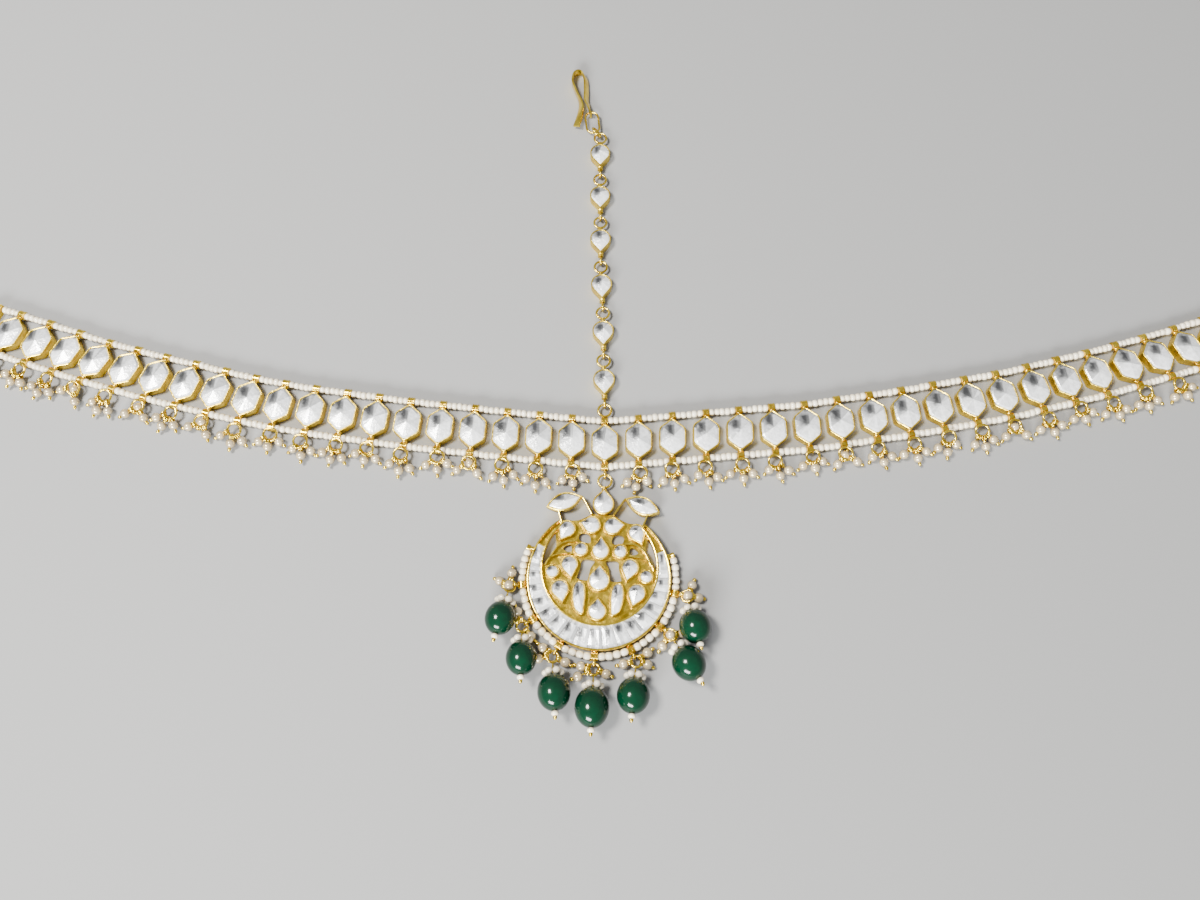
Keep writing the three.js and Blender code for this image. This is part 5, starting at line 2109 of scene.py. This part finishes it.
@dataclass
class Drops:
    """Seven green beads, each below a ring with a crown of seeds and three pearls."""

    palette: Palette
    pendant: Pendant
    findings: Findings
    dice: random.Random
    ring_radius: float = 1.5
    lift: float = 16.0
    clearance: float = 0.06
    pearl_lift: float = 0.95
    crown: int = 6
    crown_radius: float = 1.95
    crown_seed: float = 0.96
    crown_into: float = 0.3
    end_seed: float = 1.0
    end_seed_out: float = 0.66
    pin_out: float = 1.5
    taper: float = 0.06
    drops: tuple[Drop, ...] = (
        Drop(-99, 8.8, 7.9, 8.9, ((0.7, -3.3), (1.5, 0.0), (4.0, -1.6))),
        Drop(-85, 8.2, 7.9, 8.9, ((2.4, -2.8), (0.8, 3.4), (0.6, -3.9))),
        Drop(-82, 8.9, 8.4, 9.5, ((0.8, -3.3), (1.0, 3.6), (3.6, -2.8))),
        Drop(-89, 9.3, 8.7, 10.2, ((0.8, -3.3), (3.4, -3.9), (2.4, 3.2))),
        Drop(-93, 8.5, 8.3, 9.2, ((0.7, -3.2), (3.3, 2.3), (0.6, 3.5))),
        Drop(-56, 8.5, 8.5, 9.2, ((1.5, 0.0), (1.6, -3.4), (3.6, 2.5))),
        Drop(-76, 8.2, 8.2, 8.9, ((1.5, 0.0), (4.4, 0.2), (2.2, 3.1))),
    )
    seeds: Shape = field(default_factory=Shape)
    beads: list[tuple[str, Shape]] = field(default_factory=list)

    def hang(self, number: int, drop: Drop, degrees: float) -> None:
        """Adds one drop with its ring, pin, crown and pearls.

        Args:
            number: The drop's number, from the left.
            drop: Its sizes.
            degrees: Direction of the post that carries it.
        """
        ring_z = self.pendant.ring_z
        lift, angle = math.radians(self.lift), math.radians(drop.direction - degrees)
        along = Vector((math.cos(angle), math.sin(angle), 0))
        centre = Vector((self.ring_radius, 0, 0))
        start = Matrix.Rotation(-lift, 3, "Y") @ (centre + along * self.ring_radius)
        middle = centre + along * drop.reach
        middle.z = drop.width / 2 + self.clearance - ring_z
        axis = middle - start
        run = axis.length
        spot = polar(self.pendant.drop_eye, degrees)
        post = self.pendant.frame @ at_place(spot.x, spot.y, degrees, ring_z)
        ring = post @ Matrix.Rotation(-lift, 4, "Y") @ Matrix.Translation(centre)
        self.findings.ring(ring, self.ring_radius)
        hang = lying(post, start, axis)
        top, bottom = run - drop.length / 2, run + drop.length / 2
        bead = Shape()
        profile = [(r * (1 - self.taper * z / drop.length), z) for r, z in sphere_profile(1, 22)]
        bead.lathe([(r * drop.width / 2, run + z * drop.length / 2) for r, z in profile], 36, hang)
        self.beads.append((f"green_bead_{number}", bead))
        for k in range(self.crown):
            around = polar(self.crown_radius, 360 / self.crown * k + self.dice.uniform(-4, 4))
            place = hang @ Matrix.Translation((*around, top - self.crown_into))
            self.seeds.lathe(sphere_profile(self.crown_seed, 7, 0.9), 12, place)
        below = hang @ Matrix.Translation((0, 0, bottom + self.end_seed_out))
        self.seeds.lathe(sphere_profile(self.end_seed, 7, 0.72), 12, below)
        end = bottom + self.pin_out
        self.findings.pins.append([hang @ Vector((0, 0, -0.2)), hang @ Vector((0, 0, end))])
        pointing = (hang.to_3x3() @ Vector((0, 0, 1))).to_track_quat("Z", "Y").to_euler()
        self.findings.balls.append(Spot(hang @ Vector((0, 0, end + 0.1)), pointing))
        for x, y in drop.pearls:
            pearl = post @ Vector((x, y, 0))
            on_ring = y == 0.0
            pearl.z = ring.translation.z + self.pearl_lift if on_ring else self.findings.pearl_z
            self.findings.pearl_on(ring, self.ring_radius, pearl)

    def build(self) -> dict[str, bpy.types.Object]:
        """Makes the beads and their seeds.

        Returns:
            The pieces by their names.
        """
        for k, (drop, degrees) in enumerate(zip(self.drops, self.pendant.post_angles())):
            self.hang(k + 1, drop, degrees)
        made = {name: bead.build(name, self.palette.green, BEAD_CREASE) for name, bead in self.beads}
        made["drop_seeds"] = self.seeds.build("drop_seeds", self.palette.seed, BEAD_CREASE)
        return made


# ---------------------------------------------------------------- studio


@dataclass(frozen=True)
class Studio:
    """Pale floor, soft lights and the camera."""

    camera_place: tuple[float, float, float] = (-0.0013, -0.0846, 0.242)
    camera_tilt: float = 19.0
    lens: float = 27.9
    half_floor: float = 3.0
    floor_drop: float = 0.00002  # keeps the floor just clear of the jewel's back
    floor_colour: tuple[float, float, float, float] = (0.24, 0.238, 0.232, 1)
    sky_colour: tuple[float, float, float, float] = (0.72, 0.74, 0.78, 1)
    sky_strength: float = 0.74

    def floor(self) -> None:
        """Lays the pale floor."""
        material = bpy.data.materials.new("pale_floor")
        material.use_nodes = True
        shader = material.node_tree.nodes["Principled BSDF"]
        shader.inputs["Base Color"].default_value = self.floor_colour
        shader.inputs["Roughness"].default_value = 0.75
        mesh = bpy.data.meshes.new("floor")
        corners = [(-1, -1), (1, -1), (1, 1), (-1, 1)]
        points = [(x * self.half_floor, y * self.half_floor, -self.floor_drop) for x, y in corners]
        mesh.from_pydata(points, [], [(0, 1, 2, 3)])
        mesh.materials.append(material)
        stand("floor", mesh)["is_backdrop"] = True

    def lamp(
        self, name: str, place: Sequence[float], size: Point, power: float, colour: Sequence[float]
    ) -> None:
        """Hangs a soft box that faces the jewel.

        Args:
            name: The lamp's name.
            place: Where it hangs, in metres.
            size: Its width and height.
            power: Its power in watts.
            colour: Its colour.
        """
        light = bpy.data.lights.new(name, "AREA")
        light.shape = "RECTANGLE"
        light.size, light.size_y = size
        light.energy = power
        light.color = colour
        lamp = stand(name, light)
        lamp.location = place
        lamp.rotation_euler = (-Vector(place)).to_track_quat("-Z", "Y").to_euler()

    def build(self) -> None:
        """Sets up the floor, lights, surroundings and camera."""
        self.floor()
        self.lamp("ceiling", (-0.44, 0.05, 0.8), (0.22, 0.22), 20.0, (1.0, 0.98, 0.95))
        self.lamp("window", (-0.36, -1.0, 0.5), (0.6, 0.3), 50.0, (0.97, 0.99, 1.0))
        world = bpy.data.worlds.new("studio")
        world.use_nodes = True
        sky = world.node_tree.nodes["Background"]
        sky.inputs["Color"].default_value = self.sky_colour
        sky.inputs["Strength"].default_value = self.sky_strength
        bpy.context.scene.world = world
        lens = bpy.data.cameras.new("camera")
        lens.lens = self.lens
        lens.sensor_width = 36
        lens.clip_start = 0.01
        camera = stand("camera", lens)
        camera.location = self.camera_place
        camera.rotation_euler = (math.radians(self.camera_tilt), 0, 0)
        bpy.context.scene.camera = camera


def keep_sizes() -> None:
    """Works out the solid model's box and the dressed model's box."""
    boxes = {"cad": SOLID_BOX, "visual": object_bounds()}
    rows = {name: [[float(n) for n in corner] for corner in box] for name, box in boxes.items()}


def main() -> None:
    """Builds the jewel, group by group, and ties each piece to the solid model."""
    logging.basicConfig(level=logging.INFO, format="%(name)s %(message)s")
    dice = random.Random(7)
    shop = Workshop()
    palette = Palette(shop)
    seeds = SeedStrings(shop, palette)
    findings = Findings(shop, palette, dice)
    band = Band(palette, seeds, findings, dice)
    units = [f"stone_unit_{unit.name}" for unit in band.units]
    links = [f"pear_link_{k}" for k in range(1, 7)]
    drops = [f"green_drop_{k}" for k in range(1, 8)]
    rings = ["round_ring", "oval_ring"]
    for piece in band.build().values():
        seat(piece, Slot.GOLD, units)
    seat(Clasps(palette, band).build(), Slot.GOLD, ["end_clasp_left", "end_clasp_right"])
    for name, piece in Chain(palette, findings, dice).build().items():
        seat(piece, Slot.GOLD, ["hair_hook"] if name == "hook_strip" else links)
    pendant = Pendant(shop, palette, seeds, findings, dice)
    for piece in pendant.build().values():
        seat(piece, Slot.GOLD, ["pendant"])
    for name, piece in Drops(palette, pendant, findings, dice).build().items():
        nodes = drops if name == "drop_seeds" else ["green_drop_" + name[-1]]
        seat(piece, Slot.SEED if name == "drop_seeds" else Slot.GREEN, nodes)
    for name, piece in findings.build().items():
        seat(piece, Slot.SEED if name == "pearls" else Slot.GOLD, units + links + rings + drops + ["pendant"])
    for piece in seeds.build(2.0).values():
        seat(piece, Slot.SEED, ["bead_string_upper", "bead_string_lower", "pendant"])
    Studio().build()
    keep_sizes()


if __name__ == "__main__":
    main()
